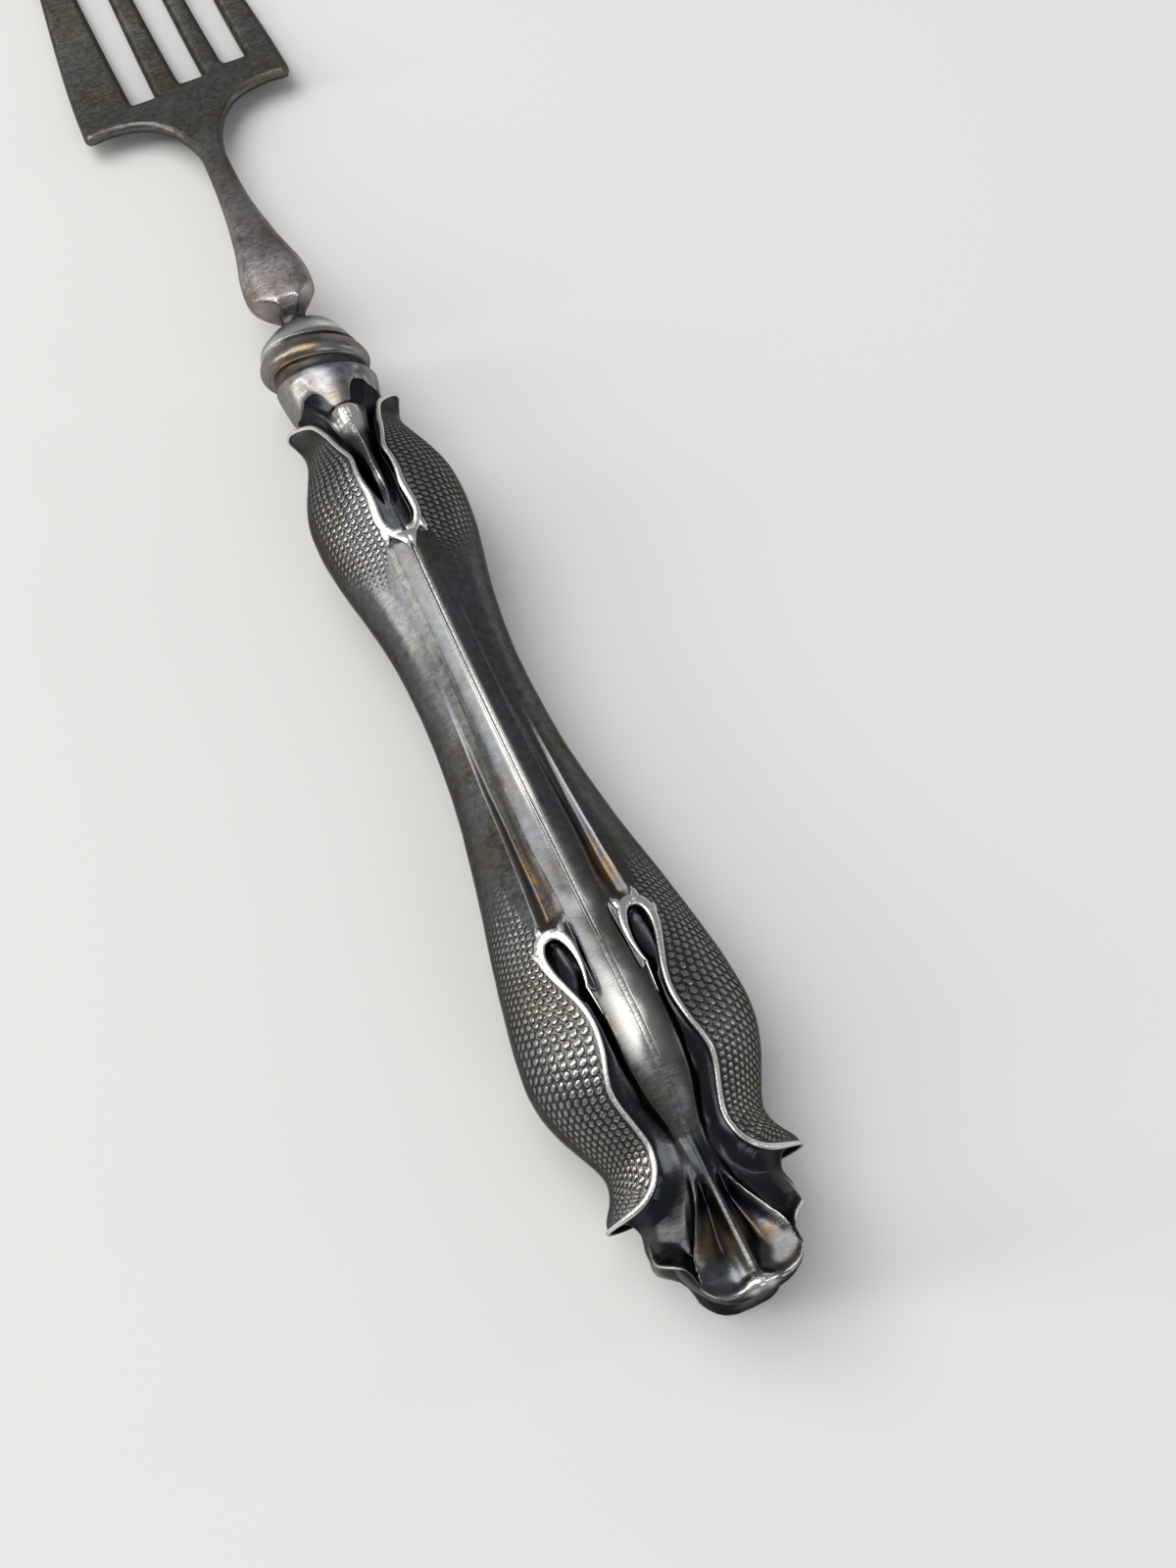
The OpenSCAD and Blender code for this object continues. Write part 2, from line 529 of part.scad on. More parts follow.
// The four tines. Each is drawn between a left and a right edge and comes to a rounded point.
tip_shares = [-0.44, -0.125, 0.165, 0.455];
tip_half = tip_span * 0.045;
point_len = tine_len * 0.16;
function toward(s) = (s - slots_at) / tine_len;
function tine_left(i, s) =
    i == 0 ? -outer_edge(s)
    : let (foot = slot_mid(i - 1) + slot_w / 2) foot + (tip_shares[i] * tip_span - tip_half - foot) * toward(s);
function tine_right(i, s) =
    i == 3 ? outer_edge(s)
    : let (foot = slot_mid(i) - slot_w / 2) foot + (tip_shares[i] * tip_span + tip_half - foot) * toward(s);
function pointed(s) = sqrt(max(0.04, 1 - pow(max(0, (s - tips_at + point_len) / point_len), 2)));
tine_stations = concat([for (i = [0:5]) slots_at - shoulder_len / 2 + (tine_len - point_len) * i / 5],
    [for (i = [1:6]) tips_at - point_len * (1 - sin(i * 15))]);
module tine(i) {
    edges = [for (s = tine_stations)
        let (l = tine_left(i, s), r = tine_right(i, s), m = (l + r) / 2, h = (r - l) / 2 * pointed(s))
        [m - h, m + h, s]];
    last = len(edges) - 1;
    polygon(concat([for (e = edges) [e[0], e[2]]], [for (j = [last:-1:0]) [edges[j][1], edges[j][2]]]));
}

module head_plan() {
    plate_end = slot_foot(2) + slot_step;
    right = concat(shoulder_line, [[outer_edge(plate_end), plate_end]]);
    left = [for (i = [len(right) - 1:-1:0]) [-right[i][0], right[i][1]]];
    difference() {
        union() {
            polygon(concat(right, left));
            for (i = [0:3]) tine(i);
        }
        for (i = [0:2]) {
            translate([slot_mid(i) - slot_w / 2, slot_foot(i)])
                square([slot_w, plate_end + slot_step - slot_foot(i)]);
        }
    }
}

// Side view of the flat head: a band of the head's thickness that dips to the rest and rises to the tips
module head_side() {
    first = neck_at + neck_len * plate_share;
    places = concat([for (i = [0:9]) first + (rest_from - first) * i / 10], [rest_from, rest_to],
        [for (i = [1:12]) rest_to + (tips_at + fit_gap - rest_to) * i / 12]);
    last = len(places) - 1;
    polygon(concat([for (s = places) [s, underside(s)]],
        [for (j = [last:-1:0]) [places[j], underside(places[j]) + head_thick(places[j])]]));
}

module fork_head() {
    color("#6f6862") {
        translate([0, -mid_at, 0]) intersection() {
            linear_extrude(axis_z * 2) head_plan();
            translate([-head_w / 2 - head_t, 0, 0]) rotate([90, 0, 90])
                linear_extrude(head_w + 2 * head_t) head_side();
        }
        placed() loft([for (k = knop_shares) neck_row(k)]);
        placed() translate([0, neck_at - tang_len, 0]) rotate([-90, 0, 0])
            cylinder(h = tang_len, r = tang_r, $fn = 48);
    }
}

fork_head();
cap();
ring();
collar();
left_shell();
right_shell();
front_seam();
back_seam();
cement_core();
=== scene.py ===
import bmesh
import bpy
import numpy as np
from mathutils import Matrix


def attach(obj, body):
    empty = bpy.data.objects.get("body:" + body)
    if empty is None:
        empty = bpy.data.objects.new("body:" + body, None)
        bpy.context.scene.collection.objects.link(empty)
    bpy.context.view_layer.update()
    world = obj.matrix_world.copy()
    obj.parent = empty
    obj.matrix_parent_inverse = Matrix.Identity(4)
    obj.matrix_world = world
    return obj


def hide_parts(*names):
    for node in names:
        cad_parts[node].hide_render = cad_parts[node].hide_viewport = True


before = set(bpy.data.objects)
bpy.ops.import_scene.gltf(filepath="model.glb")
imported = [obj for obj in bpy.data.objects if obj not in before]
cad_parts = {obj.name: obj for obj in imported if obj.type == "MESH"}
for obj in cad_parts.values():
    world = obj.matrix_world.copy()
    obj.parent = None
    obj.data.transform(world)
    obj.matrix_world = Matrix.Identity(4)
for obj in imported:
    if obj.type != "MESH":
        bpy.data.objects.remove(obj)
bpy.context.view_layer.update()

# The two shells of the handle.
# Each is one stamped half of thin silver, struck with scaled leaves, loops, flutes and the petalled end,
# then toned dark in the hollows and worn bright on the rims, with painted highlights and painted shade in its colour.

MID = 72.35          # millimetres from the end of the handle to the middle of the fork
AXIS = 7.08          # millimetres from the surface that the fork lies on to the handle's axis
LEAF_TIP, NIP, BULGE, LOOP_TOP, EYE, CROWN, COLLAR_AT = 8.4, 11.13, 18.9, 27.9, 60.2, 64.2, 75.0
WAIST = LOOP_TOP + (EYE - LOOP_TOP) * 0.62
TOP = COLLAR_AT - (COLLAR_AT - CROWN) * 0.18
SEAM_HALF = 0.2


def ramp(start, end, v):
    """Half a cosine wave: 0 up to start, 1 from end on."""
    return (1 - np.cos(np.pi * np.clip((v - start) / (end - start), 0, 1))) / 2


def bell(middle, width, v):
    """A bell curve of height 1 at the middle."""
    return np.exp(-((v - middle) / width) ** 2)


def smooth_path(points, per_span=6):
    """A Catmull-Rom curve through points, as an array with the same columns."""
    p = np.array(points, float)
    p = np.vstack([2 * p[0] - p[1], p, 2 * p[-1] - p[-2]])
    t = np.linspace(0, 1, per_span, endpoint=False)[None, :, None]
    a, b, c, d = (p[i:len(p) - 3 + i][:, None, :] for i in range(4))
    curve = 0.5 * (2 * b + (c - a) * t + (2 * a - 5 * b + 4 * c - d) * t ** 2 + (3 * b - a - 3 * c + d) * t ** 3)
    return np.vstack([curve.reshape(-1, p.shape[1]), p[-2:-1]])


def nearest_on(path, s, q):
    """Distance from each point to the nearest stretch of a path, the step to it, and the path's own third
    column there. The loop runs over the path's stretches, and each works on the whole grid."""
    best = np.full(s.shape, 1e9)
    step_s, step_q, carried = (np.zeros(s.shape) for _ in range(3))
    for a, b in zip(path[:-1], path[1:]):
        d = b[:2] - a[:2]
        t = np.clip(((s - a[0]) * d[0] + (q - a[1]) * d[1]) / max(d @ d, 1e-9), 0, 1)
        ds, dq = a[0] + t * d[0] - s, a[1] + t * d[1] - q
        r = np.hypot(ds, dq)
        near = r < best
        best = np.where(near, r, best)
        step_s, step_q = np.where(near, ds, step_s), np.where(near, dq, step_q)
        carried = np.where(near, a[2] + t * (b[2] - a[2]), carried)
    return best, step_s, step_q, carried


def within(outline, s, q):
    """1 inside a closed outline and 0 outside, by counting the edges that a ray crosses."""
    odd = np.zeros(s.shape, bool)
    for a, b in zip(outline, np.roll(outline, -1, axis=0)):
        if a[1] != b[1]:
            odd ^= ((a[1] > q) != (b[1] > q)) & (s < (b[0] - a[0]) * (q - a[1]) / (b[1] - a[1]) + a[0])
    return odd.astype(float)


def through_stations(s, nip, bulge, waist, crown, top):
    """A smooth value along the handle through its nip, bulge, waist, crown and top, joined by cosine waves
    whose middles are pulled to one side by a power."""
    def wave(a, b, power):
        return (1 - np.cos(np.pi * np.clip((s - a) / (b - a), 0, 1) ** power)) / 2
    low = nip + (bulge - nip) * wave(NIP, BULGE, 0.75)
    mid = bulge + (waist - bulge) * wave(BULGE, WAIST, 0.8)
    up = waist + (crown - waist) * wave(WAIST, CROWN, 1.3)
    end = crown + (top - crown) * wave(CROWN, TOP, 1.15)
    return np.where(s < BULGE, low, np.where(s < WAIST, mid, np.where(s < CROWN, up, end)))


def half_width(s):
    """Half the width of the smooth handle at each place."""
    return through_stations(s, 6.0, 8.65, 4.2, 6.05, 3.62)


def half_depth(s):
    """Half the thickness of the smooth handle at each place."""
    return through_stations(s, 4.9, 7.0, 4.1, 5.4, 3.62)


# Bright rims of the leaves, from the loop to the leaf's tip, as [place, angle from the front, half width]
lower_rim = smooth_path([
    (22.6, 14.8, 0.07), (23.3, 13.6, 0.11), (24.2, 12.8, 0.16), (25.0, 12.8, 0.22), (25.8, 13.6, 0.3),
    (26.6, 15.8, 0.37), (27.1, 19.2, 0.41), (27.25, 23, 0.42), (27.2, 27, 0.43), (26.85, 30.3, 0.43),
    (26.2, 32.0, 0.41), (25.4, 31.2, 0.36), (24.4, 28.6, 0.3), (23.2, 24.7, 0.26), (21.9, 21, 0.23),
    (20.6, 19, 0.21), (19.3, 19, 0.2), (18.0, 20.8, 0.19), (16.8, 24, 0.19), (15.7, 26.8, 0.2), (14.6, 27.3, 0.19),
    (13.2, 26.3, 0.19), (11.6, 25.5, 0.2), (10.1, 28.5, 0.22), (9.1, 36, 0.24), (8.5, 47, 0.25), (8.25, 60, 0.21),
    (8.15, 74, 0.16), (8.12, 90, 0.14)])
lower_spurs = [smooth_path(p, 4) for p in (
    [(22.75, 14.5, 0.09), (22.1, 13.9, 0.07), (21.3, 13.2, 0.05), (20.4, 12.6, 0.02)],
    [(25.9, 32.0, 0.4), (26.35, 35.0, 0.26), (26.7, 37.8, 0.04)],
    [(27.1, 27.5, 0.42), (27.7, 28.4, 0.3), (28.3, 29.4, 0.04)],
    [(26.9, 17.0, 0.38), (27.45, 15.4, 0.26), (27.9, 13.8, 0.04)])]
upper_rim = smooth_path([
    (60.0, 0, 0.5), (60.1, 3.8, 0.48), (60.3, 7.4, 0.42), (60.75, 10.4, 0.38), (61.4, 12.4, 0.37), (62.2, 12.4, 0.38),
    (63.1, 11.4, 0.36), (64.0, 10.8, 0.3), (65.1, 12.0, 0.24), (66.3, 12.4, 0.2), (67.2, 11.9, 0.19),
    (67.9, 13.2, 0.18), (68.9, 18, 0.18), (70.0, 23.8, 0.19), (70.9, 28.5, 0.2), (71.9, 36.5, 0.2), (72.7, 46, 0.19),
    (73.4, 62, 0.16), (73.8, 76, 0.14), (73.9, 90, 0.14)])
upper_spurs = [smooth_path(p, 4) for p in (
    [(60.9, 10.6, 0.5), (60.5, 11.8, 0.44), (60.0, 13.0, 0.24), (59.55, 14.0, 0.04)],
    [(60.0, 0.0, 0.95), (59.6, 0.0, 0.62), (59.1, 0.0, 0.3), (58.5, 0.0, 0.04)])]
channel_fold = smooth_path([(6.4, 30, 0), (7.0, 26, 0.1), (7.9, 22, 0.16), (9.1, 18.5, 0.18), (10.0, 15.5, 0.18),
                            (11.0, 13.8, 0.16), (12.3, 14.2, 0.15), (13.4, 14.6, 0.16), (14.2, 15.6, 0.18),
                            (15.2, 18, 0.16), (16.6, 18, 0.1), (18, 16.8, 0.05), (20, 15.8, 0)])
cup_rim = smooth_path([(3.55, 45, 0), (3.8, 50, 0.6), (4.2, 57, 0.9), (4.75, 66, 1), (5.35, 73, 0.9), (5.95, 76, 0.6),
                       (6.6, 77, 0.25), (7.2, 77, 0)])
neck_fold = smooth_path([(74.6, 42, 0.1), (73.6, 33, 0.16), (72.6, 24, 0.16), (71.2, 17.5, 0.08), (69.8, 14, 0)])


def unrolled(path):
    """A path with its angles turned into millimetres round the handle."""
    out = path.copy()
    out[:, 1] = np.radians(path[:, 1]) * half_width(path[:, 0])
    return out


def petal_lip(a):
    """Place of the petals' lip at an angle: flat in front, round at the corner and further back at the sides."""
    return np.interp(a, [0, 22, 29, 34, 38, 41, 43, 45, 47.5, 52, 60, 70, 90],
                     [0, 0, 0.08, 0.22, 0.5, 1.1, 2.1, 2.95, 3.3, 3.55, 3.95, 4.3, 4.45])


def petal_ridge(s):
    """Angle of the ridge between the front petal and the side petal."""
    return np.interp(s, [0.6, 1.7, 2.3, 3.0, 3.5, 4.0, 4.5, 5.2, 6.2, 7.5, 8.5, 10],
                     [42.5, 42, 41, 38.5, 34.5, 30, 26, 22, 17.3, 12.5, 10.5, 9])


def stem_edge(s):
    """Distance in millimetres from the front's middle to the stem's edge."""
    return np.interp(s, [0, 2, 4, 6, 8, 10, 11, 12, 13, 14, 15, 17, 20, 22.3],
                     [0.62, 0.62, 0.6, 0.6, 0.62, 0.7, 0.78, 0.9, 1.15, 1.45, 1.7, 1.95, 1.95, 2.15])


def panel_edge(s):
    """Angle of the edge of the raised front panel of the waist."""
    return np.interp(s, [27, 28.5, 31, 33, 36, 39, 45, 52, 56, 59.5], [13, 12.5, 14, 16, 17.5, 18.8, 18.5, 17, 15, 13.5])


def flute_crease(s):
    """Angle of the crisp outer edge of the flute."""
    return np.interp(s, [27, 29, 32, 36, 39.5, 43, 46, 52], [26, 26, 27, 29.5, 32, 33, 33, 31])


def near_line(s):
    """A line of the mesh that follows the middle of the petal's furrow, the stem, the panel and the bud."""
    return np.interp(s, [0, 1.7, 2.3, 3.0, 3.5, 4.0, 4.5, 5.2, 6.2, 7.5, 8.5, 10, 12, 13, 15, 17, 20, 22.3, 25, 28.5,
                         31, 33, 36, 39, 45, 52, 56, 59.5, 62, 66, 69, 72, 76],
                     [21, 21, 20.5, 19, 17, 15, 13, 11, 8.7, 6.5, 6.5, 7, 8, 10, 13, 14, 13.6, 15, 11.5, 12.5,
                      14, 16, 17.5, 18.8, 18.5, 17, 14.5, 8, 4, 4, 7, 13, 18])


def far_line(s):
    """A line of the mesh that follows the petals' side ridge, the rims of the leaves and the flutes' edge."""
    rows = np.array([(0, 42.5), (1.7, 42), (2.3, 41), (3.0, 38.5), (3.5, 34.5), (4.0, 30), (4.5, 26), (5.2, 22),
                     (6.2, 17.3), (7.0, 15.5), (8.9, 37), (10.1, 28.5), (11.6, 25.5),
                     (13.2, 26.3), (14.6, 27.3), (15.7, 26.8), (16.8, 24), (18, 20.8), (19.3, 19), (20.6, 19),
                     (21.9, 21), (23.2, 24.7), (24.5, 28.8), (25.6, 31.8), (27, 31.5), (28.5, 28), (32, 28),
                     (36, 30), (39.5, 32.5), (46, 33), (52, 29), (56, 22), (59.6, 13), (61, 12.4), (63, 11.2),
                     (64, 10.6), (65.1, 12.2), (66.3, 12.4), (67.2, 12.2), (67.9, 13.5), (68.9, 18), (70, 23.8),
                     (70.9, 28.5), (71.9, 36.5), (72.7, 46), (74, 52), (76, 55)])
    return np.interp(s, rows[:, 0], rows[:, 1])


def quarter_grid():
    """Places and angles of a quarter's points. Rows run across the handle and columns along it, close
    together at the petals, rims and loops. Rows below the nip bend to follow the petals' lip. The last
    table tells how far a point is from the rim's line (0) to the handle's side (1)."""
    v = np.concatenate([np.linspace(0, 2, 28, endpoint=False), np.linspace(2, 8, 50, endpoint=False),
                        np.linspace(8, 30, 176, endpoint=False), np.linspace(30, 56.5, 32, endpoint=False),
                        np.linspace(56.5, COLLAR_AT + 0.6, 160)])
    shares = np.concatenate([np.linspace(0, 1, 20, endpoint=False) ** 1.2, np.linspace(1, 2, 10, endpoint=False),
                             np.linspace(2, 3, 14, endpoint=False), np.linspace(3, 4, 59)])
    near, far = near_line(v)[:, None], far_line(v)[:, None]
    band = np.minimum(3.2, (far - near) * 0.4)
    marks = [np.zeros_like(near), near, far - band, far + band, np.full_like(near, 90.0)]
    k = np.minimum(shares.astype(int), 3)
    part = (shares - k)[None, :]
    fan = (shares[None, :] - 3) * np.ones_like(near)
    lo = np.stack(marks, 0)[k, :, 0].T
    hi = np.stack(marks, 0)[k + 1, :, 0].T
    a = lo + (hi - lo) * part
    lip = petal_lip(a)
    s = np.where(v[:, None] < NIP, v[:, None] + lip * (1 - v[:, None] / NIP), v[:, None])
    fan = np.where(fan < 0, (a - far - band) / (90 - far - band), fan)
    return s, a, lip, fan


def leaf_body(s, a):
    """Half width and half depth of the leaves and waist at a place and angle: the smooth handle with the
    flared leaf tips, the stem's round back, the raised panel of the waist and the flutes beside it."""
    flare = 1.25 * bell(LEAF_TIP - 0.1, 1.5, s) + 0.86 * bell(74.0, np.where(s < 74, 1.85, 1.15), s)
    flare = flare * ramp(38, 88, a)
    stem = -0.22 * bell(19, 9, s) * (np.minimum(a, 13) / 13) ** 2
    edge, crease = panel_edge(s), flute_crease(s)
    panel = ramp(27.5, 30, s) * ramp(60.2, 59.2, s) * ramp(edge + 4.5, edge - 3.5, a)
    roof = ramp(29, 40, s) * ramp(60.2, 59, s) * (1 - np.sqrt((np.minimum(a, 20) / 20) ** 2 + 0.012))
    depth = np.interp(s, [27, 28.3, 30, 33, 36, 40, 45, 50], [0, 0.5, 0.52, 0.44, 0.36, 0.25, 0.12, 0])
    u = np.clip((a - edge) / (crease - edge), -0.3, 1.3)
    flute = -depth * ramp(-0.3, 0.7, u) * ramp(1.25, 0.7, u)
    lip = 0.03 * bell(1.12, 0.16, u) * ramp(28, 31, s) * ramp(48, 40, s)
    groove = -0.3 * bell(11.2, 1.5, a) * ramp(21.5, 23, s) * ramp(28.2, 27, s) * ramp(10.5, 13, 24 - a)
    more = stem + 0.12 * panel + 0.26 * roof + flute + lip + groove
    return half_width(s) + flare + more, half_depth(s) + more, flute + 0.4 * groove


def quarter_surface():
    """Points of a quarter of the handle, with the masks that its material reads. The smooth body is lowered
    by the channels, the hollows and the petals, whose depth depends on the distance to the rims."""
    s, a, lip, fan = quarter_grid()
    q = np.radians(a) * half_width(s)

    # The hollow side of the lower leaves: petals, channel and loop. The outline closes along the rim.
    rim, rim2 = unrolled(lower_rim), unrolled(upper_rim)
    far_side = [(8.0, 30), (-9, 30), (-9, -3), (21.9, -3), (22.1, 1.6)]
    hollow = within(np.vstack([rim[:, :2], far_side]), s, q)
    d_rim, to_s, to_q, _ = nearest_on(rim, s, q)
    # The hollow side of the upper leaves: eye, bud and the neck of the handle
    hollow2 = within(np.vstack([rim2[:, :2], [(73.9, 30), (80, 30), (80, -3), (59.6, -3)]]), s, q)
    d_rim2, to_s2, to_q2, _ = nearest_on(rim2, s, q)
    # Points in a hollow slide under the rim next to them, which leaves the rim standing over a gap
    slide = 0.5 * hollow * ramp(0, 0.3, d_rim) * ramp(1.0, 0.35, d_rim) * ramp(26, 23, s)
    slide2 = 0.42 * hollow2 * ramp(0, 0.28, d_rim2) * ramp(0.9, 0.32, d_rim2) * ramp(60.5, 62.5, s)
    away = np.maximum(np.hypot(to_s, to_q), 1e-6)
    away2 = np.maximum(np.hypot(to_s2, to_q2), 1e-6)
    s2 = s + slide * to_s / away + slide2 * to_s2 / away2
    a2 = a + np.degrees((slide * to_q / away + slide2 * to_q2 / away2) / half_width(s))
    a2 = np.where(a <= 0, 0, np.where(a >= 90, 90, np.clip(a2, 0, 90)))
    q2 = np.radians(a2) * half_width(s2)
    x_body, z_body, cut = leaf_body(s2, a2)

    # How far down into each hollow a point lies: steep at the rim, gentle at the stem
    beyond = q2 - stem_edge(s2)
    bar = ramp(0.75, -0.25, beyond) * ramp(24.5, 22.6, s2) * ramp(7.5, 12, s2)
    closed = ramp(21.2, 22.6, s2)
    sink = hollow * ramp(0.05, 0.5, d_rim) * (1 - bar) * (0.45 + 0.55 * ramp(0, 1.2, d_rim) * (1 - 0.3 * closed))
    sink2 = hollow2 * ramp(0.05, 0.45, d_rim2)
    d_fold, _, _, fold_high = nearest_on(unrolled(channel_fold), s2, q2)
    fold = 1.5 * fold_high * bell(0, 0.46, d_fold)
    d_fold2, _, _, fold2_high = nearest_on(unrolled(neck_fold), s2, q2)
    fold2 = 1.6 * fold2_high * bell(0, 0.26, d_fold2)

    # Floor of the lower hollow: the channel, which runs out on to the petals with their rolled lips
    ridge = petal_ridge(s2)
    cup_end = np.interp(s2, [3.4, 3.8, 4.2, 4.75, 5.3, 5.9, 6.5, 7.2, 9], [54, 58, 64, 73, 81, 84, 86, 88, 90])
    u = np.where(a2 < ridge, a2 / ridge, (a2 - ridge) / (cup_end - ridge))
    bowl, furrow = 1 - (2 * u - 1) ** 2, 1 - np.sqrt((2 * u - 1) ** 2 + 0.03)
    front_dish = (0.62 * bowl + ramp(1.8, 3.6, s2) * (0.8 * furrow - 0.36 * bowl)) * ramp(8.6, 6.2, s2)
    cup = 1.25 * np.sin(np.pi * np.clip(u, 0, 1) ** 0.68) * ramp(11, 5.2, s2) * ramp(-0.2, 2.1, s2 - lip)
    dish = np.where(a2 < ridge, front_dish, cup)
    rib = np.interp(s2, [0.6, 1.15, 1.8, 3, 5, 8, 11, 12.5], [0, 0, 0.2, 0.36, 0.46, 0.6, 0.7, 0])
    rib = rib * np.exp(-np.abs(q2 / (stem_edge(s2) * np.interp(s2, [6, 10], [0.85, 1.15]))) ** 1.5)
    on_ridge = ramp(1.6, 4.0, s2) * ramp(10, 7.8, s2)
    side_rib = 0.3 * np.exp(-np.abs((a2 - ridge) / 3.6) ** 2.4) * on_ridge
    d_cup, _, _, cup_high = nearest_on(unrolled(cup_rim), s2, q2)
    side_rib = side_rib + 0.2 * cup_high * bell(0, 0.3, d_cup) * (a2 > ridge)
    front = ramp(46, 43, a2)
    roll_wide = 0.36 + 0.15 * front + 0.12 * bell(2, 9, a2)
    off_crest = np.abs((s2 - lip - roll_wide) / roll_wide)
    roll = (0.26 + 0.04 * front + 0.16 * bell(1, 12, a2)) * np.exp(-off_crest ** (2 + 1.8 * bell(5, 10, a2)))
    x_petal = np.interp(s2, [0, 1.2, 2.1, 3.0, 3.4, 4.0, 4.4, 5.2, 6, 7, 8, 9, 11],
                        [3.9, 4.1, 4.15, 4.25, 4.5, 5.0, 5.3, 5.45, 5.42, 5.2, 4.9, 4.7, 4.6])
    z_petal = 5.7 - 1.45 * ramp(0, 8.4, s2)
    low = rib + side_rib + roll - dish
    run_out = ramp(12.4, 8.2, s2)
    deep = np.interp(s2, [8, 11, 14, 18], [0.6, 0.85, 1.15, 1.35]) - fold
    floor_x = (half_width(s2) - deep) * (1 - run_out) + (x_petal + low) * run_out
    floor_z = (half_depth(s2) - deep) * (1 - run_out) + (z_petal + low) * run_out
    # Floor of the upper hollow: the eye with its bud, which runs out on to the neck below the collar
    bud_half = np.interp(s2, [61.5, 63, 66, 69, 70.8, 71.9, 72.6, 73.1, 73.5], [1, 2.4, 5.5, 9, 12.5, 14.5, 13.5, 9, 1])
    bud = np.exp(-(a2 / bud_half) ** 2.4) * ramp(62.6, 66.0, s2) * ramp(73.5, 72.7, s2)
    crest = 0.14 * bell(0, 2.6, a2) * ramp(63.4, 65.2, s2) * ramp(71.8, 70.2, s2)
    neck_in = ramp(66.5, 71.5, s2)
    down = (1.2 - 0.75 * bud) * (1 - neck_in) - crest - fold2
    floor2_x = (half_width(s2) - down) * (1 - neck_in) + (3.32 + 0.55 * bud + crest + fold2) * neck_in
    floor2_z = (half_depth(s2) - down) * (1 - neck_in) + (3.32 + 0.55 * bud + crest + fold2) * neck_in

    x = x_body * (1 - sink) + floor_x * sink
    z = z_body * (1 - sink) + floor_z * sink
    x = x * (1 - sink2) + floor2_x * sink2
    z = z * (1 - sink2) + floor2_z * sink2
    # The lip of the petals is rounded over
    wider = ramp(50, 80, a2)
    over = np.clip(1 - (s2 - lip) / (0.7 + 0.7 * wider), 0, 1)
    x -= (0.62 + 0.45 * wider) * (1 - np.sqrt(1 - over ** 2))
    z -= 0.62 * (1 - np.sqrt(1 - over ** 2))
    # The shell ends as a round spigot inside the collar
    inside = ramp(COLLAR_AT, COLLAR_AT + 0.25, s2)
    x = x * (1 - inside) + 3.28 * inside
    z = z * (1 - inside) + 3.28 * inside
    # The front petal's section is a squarish ellipse of power 5, the side petals' less so, and the rest is
    # a plain one of power 2
    power = 2 + (3 - 2.2 * ramp(0, 14, a2 - ridge) * ramp(2.8, 4.0, s2)) * ramp(11, 4.4, s2) * sink
    turn = np.radians(a2)
    grow = (np.sin(turn) ** power + np.cos(turn) ** power) ** (-1 / power)
    across = SEAM_HALF + x * grow * np.sin(turn) * (1 - 2 * SEAM_HALF / 17.3)
    up = z * grow * np.cos(turn)

    # Bright wear and painted highlights: wear and a painted highlight on the stem's bulge, along the seam and on the
    # waist's panel; painted highlights on the front ridge, the cup's rim, the petals' rolled lip, the bud and its
    # crest, the flutes' edges and the folds.
    seam_wear_and_highlight = np.interp(s, [26, 30, 36, 38, 44, 49, 53, 59], [0, 0.2, 0.26, 0.55, 0.45, 0.22, 0.12, 0.05])
    painted_highlight_and_wear = 0.42 * bell(19.5, 6.5, s) * ramp(15, 3, a) + seam_wear_and_highlight * bell(0.4, 2.3, a)
    painted_highlight_and_wear += 0.12 * ramp(13, 9, a) * ramp(25, 29, s) * ramp(59.5, 57, s)
    painted_highlight_and_wear += 0.2 * ramp(5.4, 4.2, s) * ramp(1.4, 2.0, s) * ramp(0.4, 0.1, q2) + 0.4 * cup_high * bell(0, 0.16, d_cup)
    painted_highlight_and_wear += (0.34 + 0.5 * bell(5, 10, a2)) * bell(0, 0.6 + 0.5 * bell(5, 10, a2), off_crest)
    painted_highlight_and_wear += 1.3 * bud * ramp(69.4, 71.6, s) + 0.6 * crest + 0.3 * lip_light(s, a) + 0.6 * fold2 + 0.6 * fold
    # Dark tone in the hollows and flutes; painted shade in the furrows' bottoms, under the front lip and at the stem's
    # foot; and darker towards the collar at the upper leaves' tips.
    tarnish_and_shade = sink * (0.6 + 0.4 * bell(0.3, 0.6, d_rim)) * ramp(6, 10, s) + 0.8 * hollow * bell(0.35, 0.5, d_rim)
    tarnish_and_shade += sink2 * (0.75 + 0.25 * bell(0.3, 0.5, d_rim2)) * (1 - 0.55 * bud) - 1.0 * cut
    tarnish_and_shade += np.where(a2 < ridge, 0.28 * ramp(1.0, 3.5, s2 - lip), 0.85 * ramp(0.5, 1.8, s2 - lip)) * dish * sink
    tarnish_and_shade += 0.9 * bell(0.5, 0.16, u) * (a2 < ridge) * ramp(2.4, 3.6, s2) * ramp(9.0, 7.6, s2) * sink
    tarnish_and_shade += 0.9 * ramp(0.9, 0.4, (s2 - lip) / roll_wide) * ramp(6, 4.5, s2) * front
    tarnish_and_shade += 0.65 * bell(9.4, 1.8, s2) * ramp(2.3, 1.3, q2) + 0.5 * ramp(70.3, 72.3, s2) * (1 - hollow2)
    low_scales = ramp(34, 28, s) * ramp(8.0, 9.2, s) * (1 - hollow) * ramp(0.15, 0.4, d_rim)
    low_scales *= ramp(0, 3, a - np.interp(s, [8, 22, 25, 29, 33, 34], [8, 15, 26, 34, 46, 60])) * ramp(84, 66, a)
    up_scales = ramp(55.5, 59.5, s - (a - 20) * 0.03) * ramp(71.8, 69.4, s) * (1 - hollow2) * ramp(0.15, 0.4, d_rim2)
    up_scales *= ramp(0, 3, a - np.interp(s, [56, 58, 60, 62], [32, 22, 14, 10])) * ramp(74, 60, a)
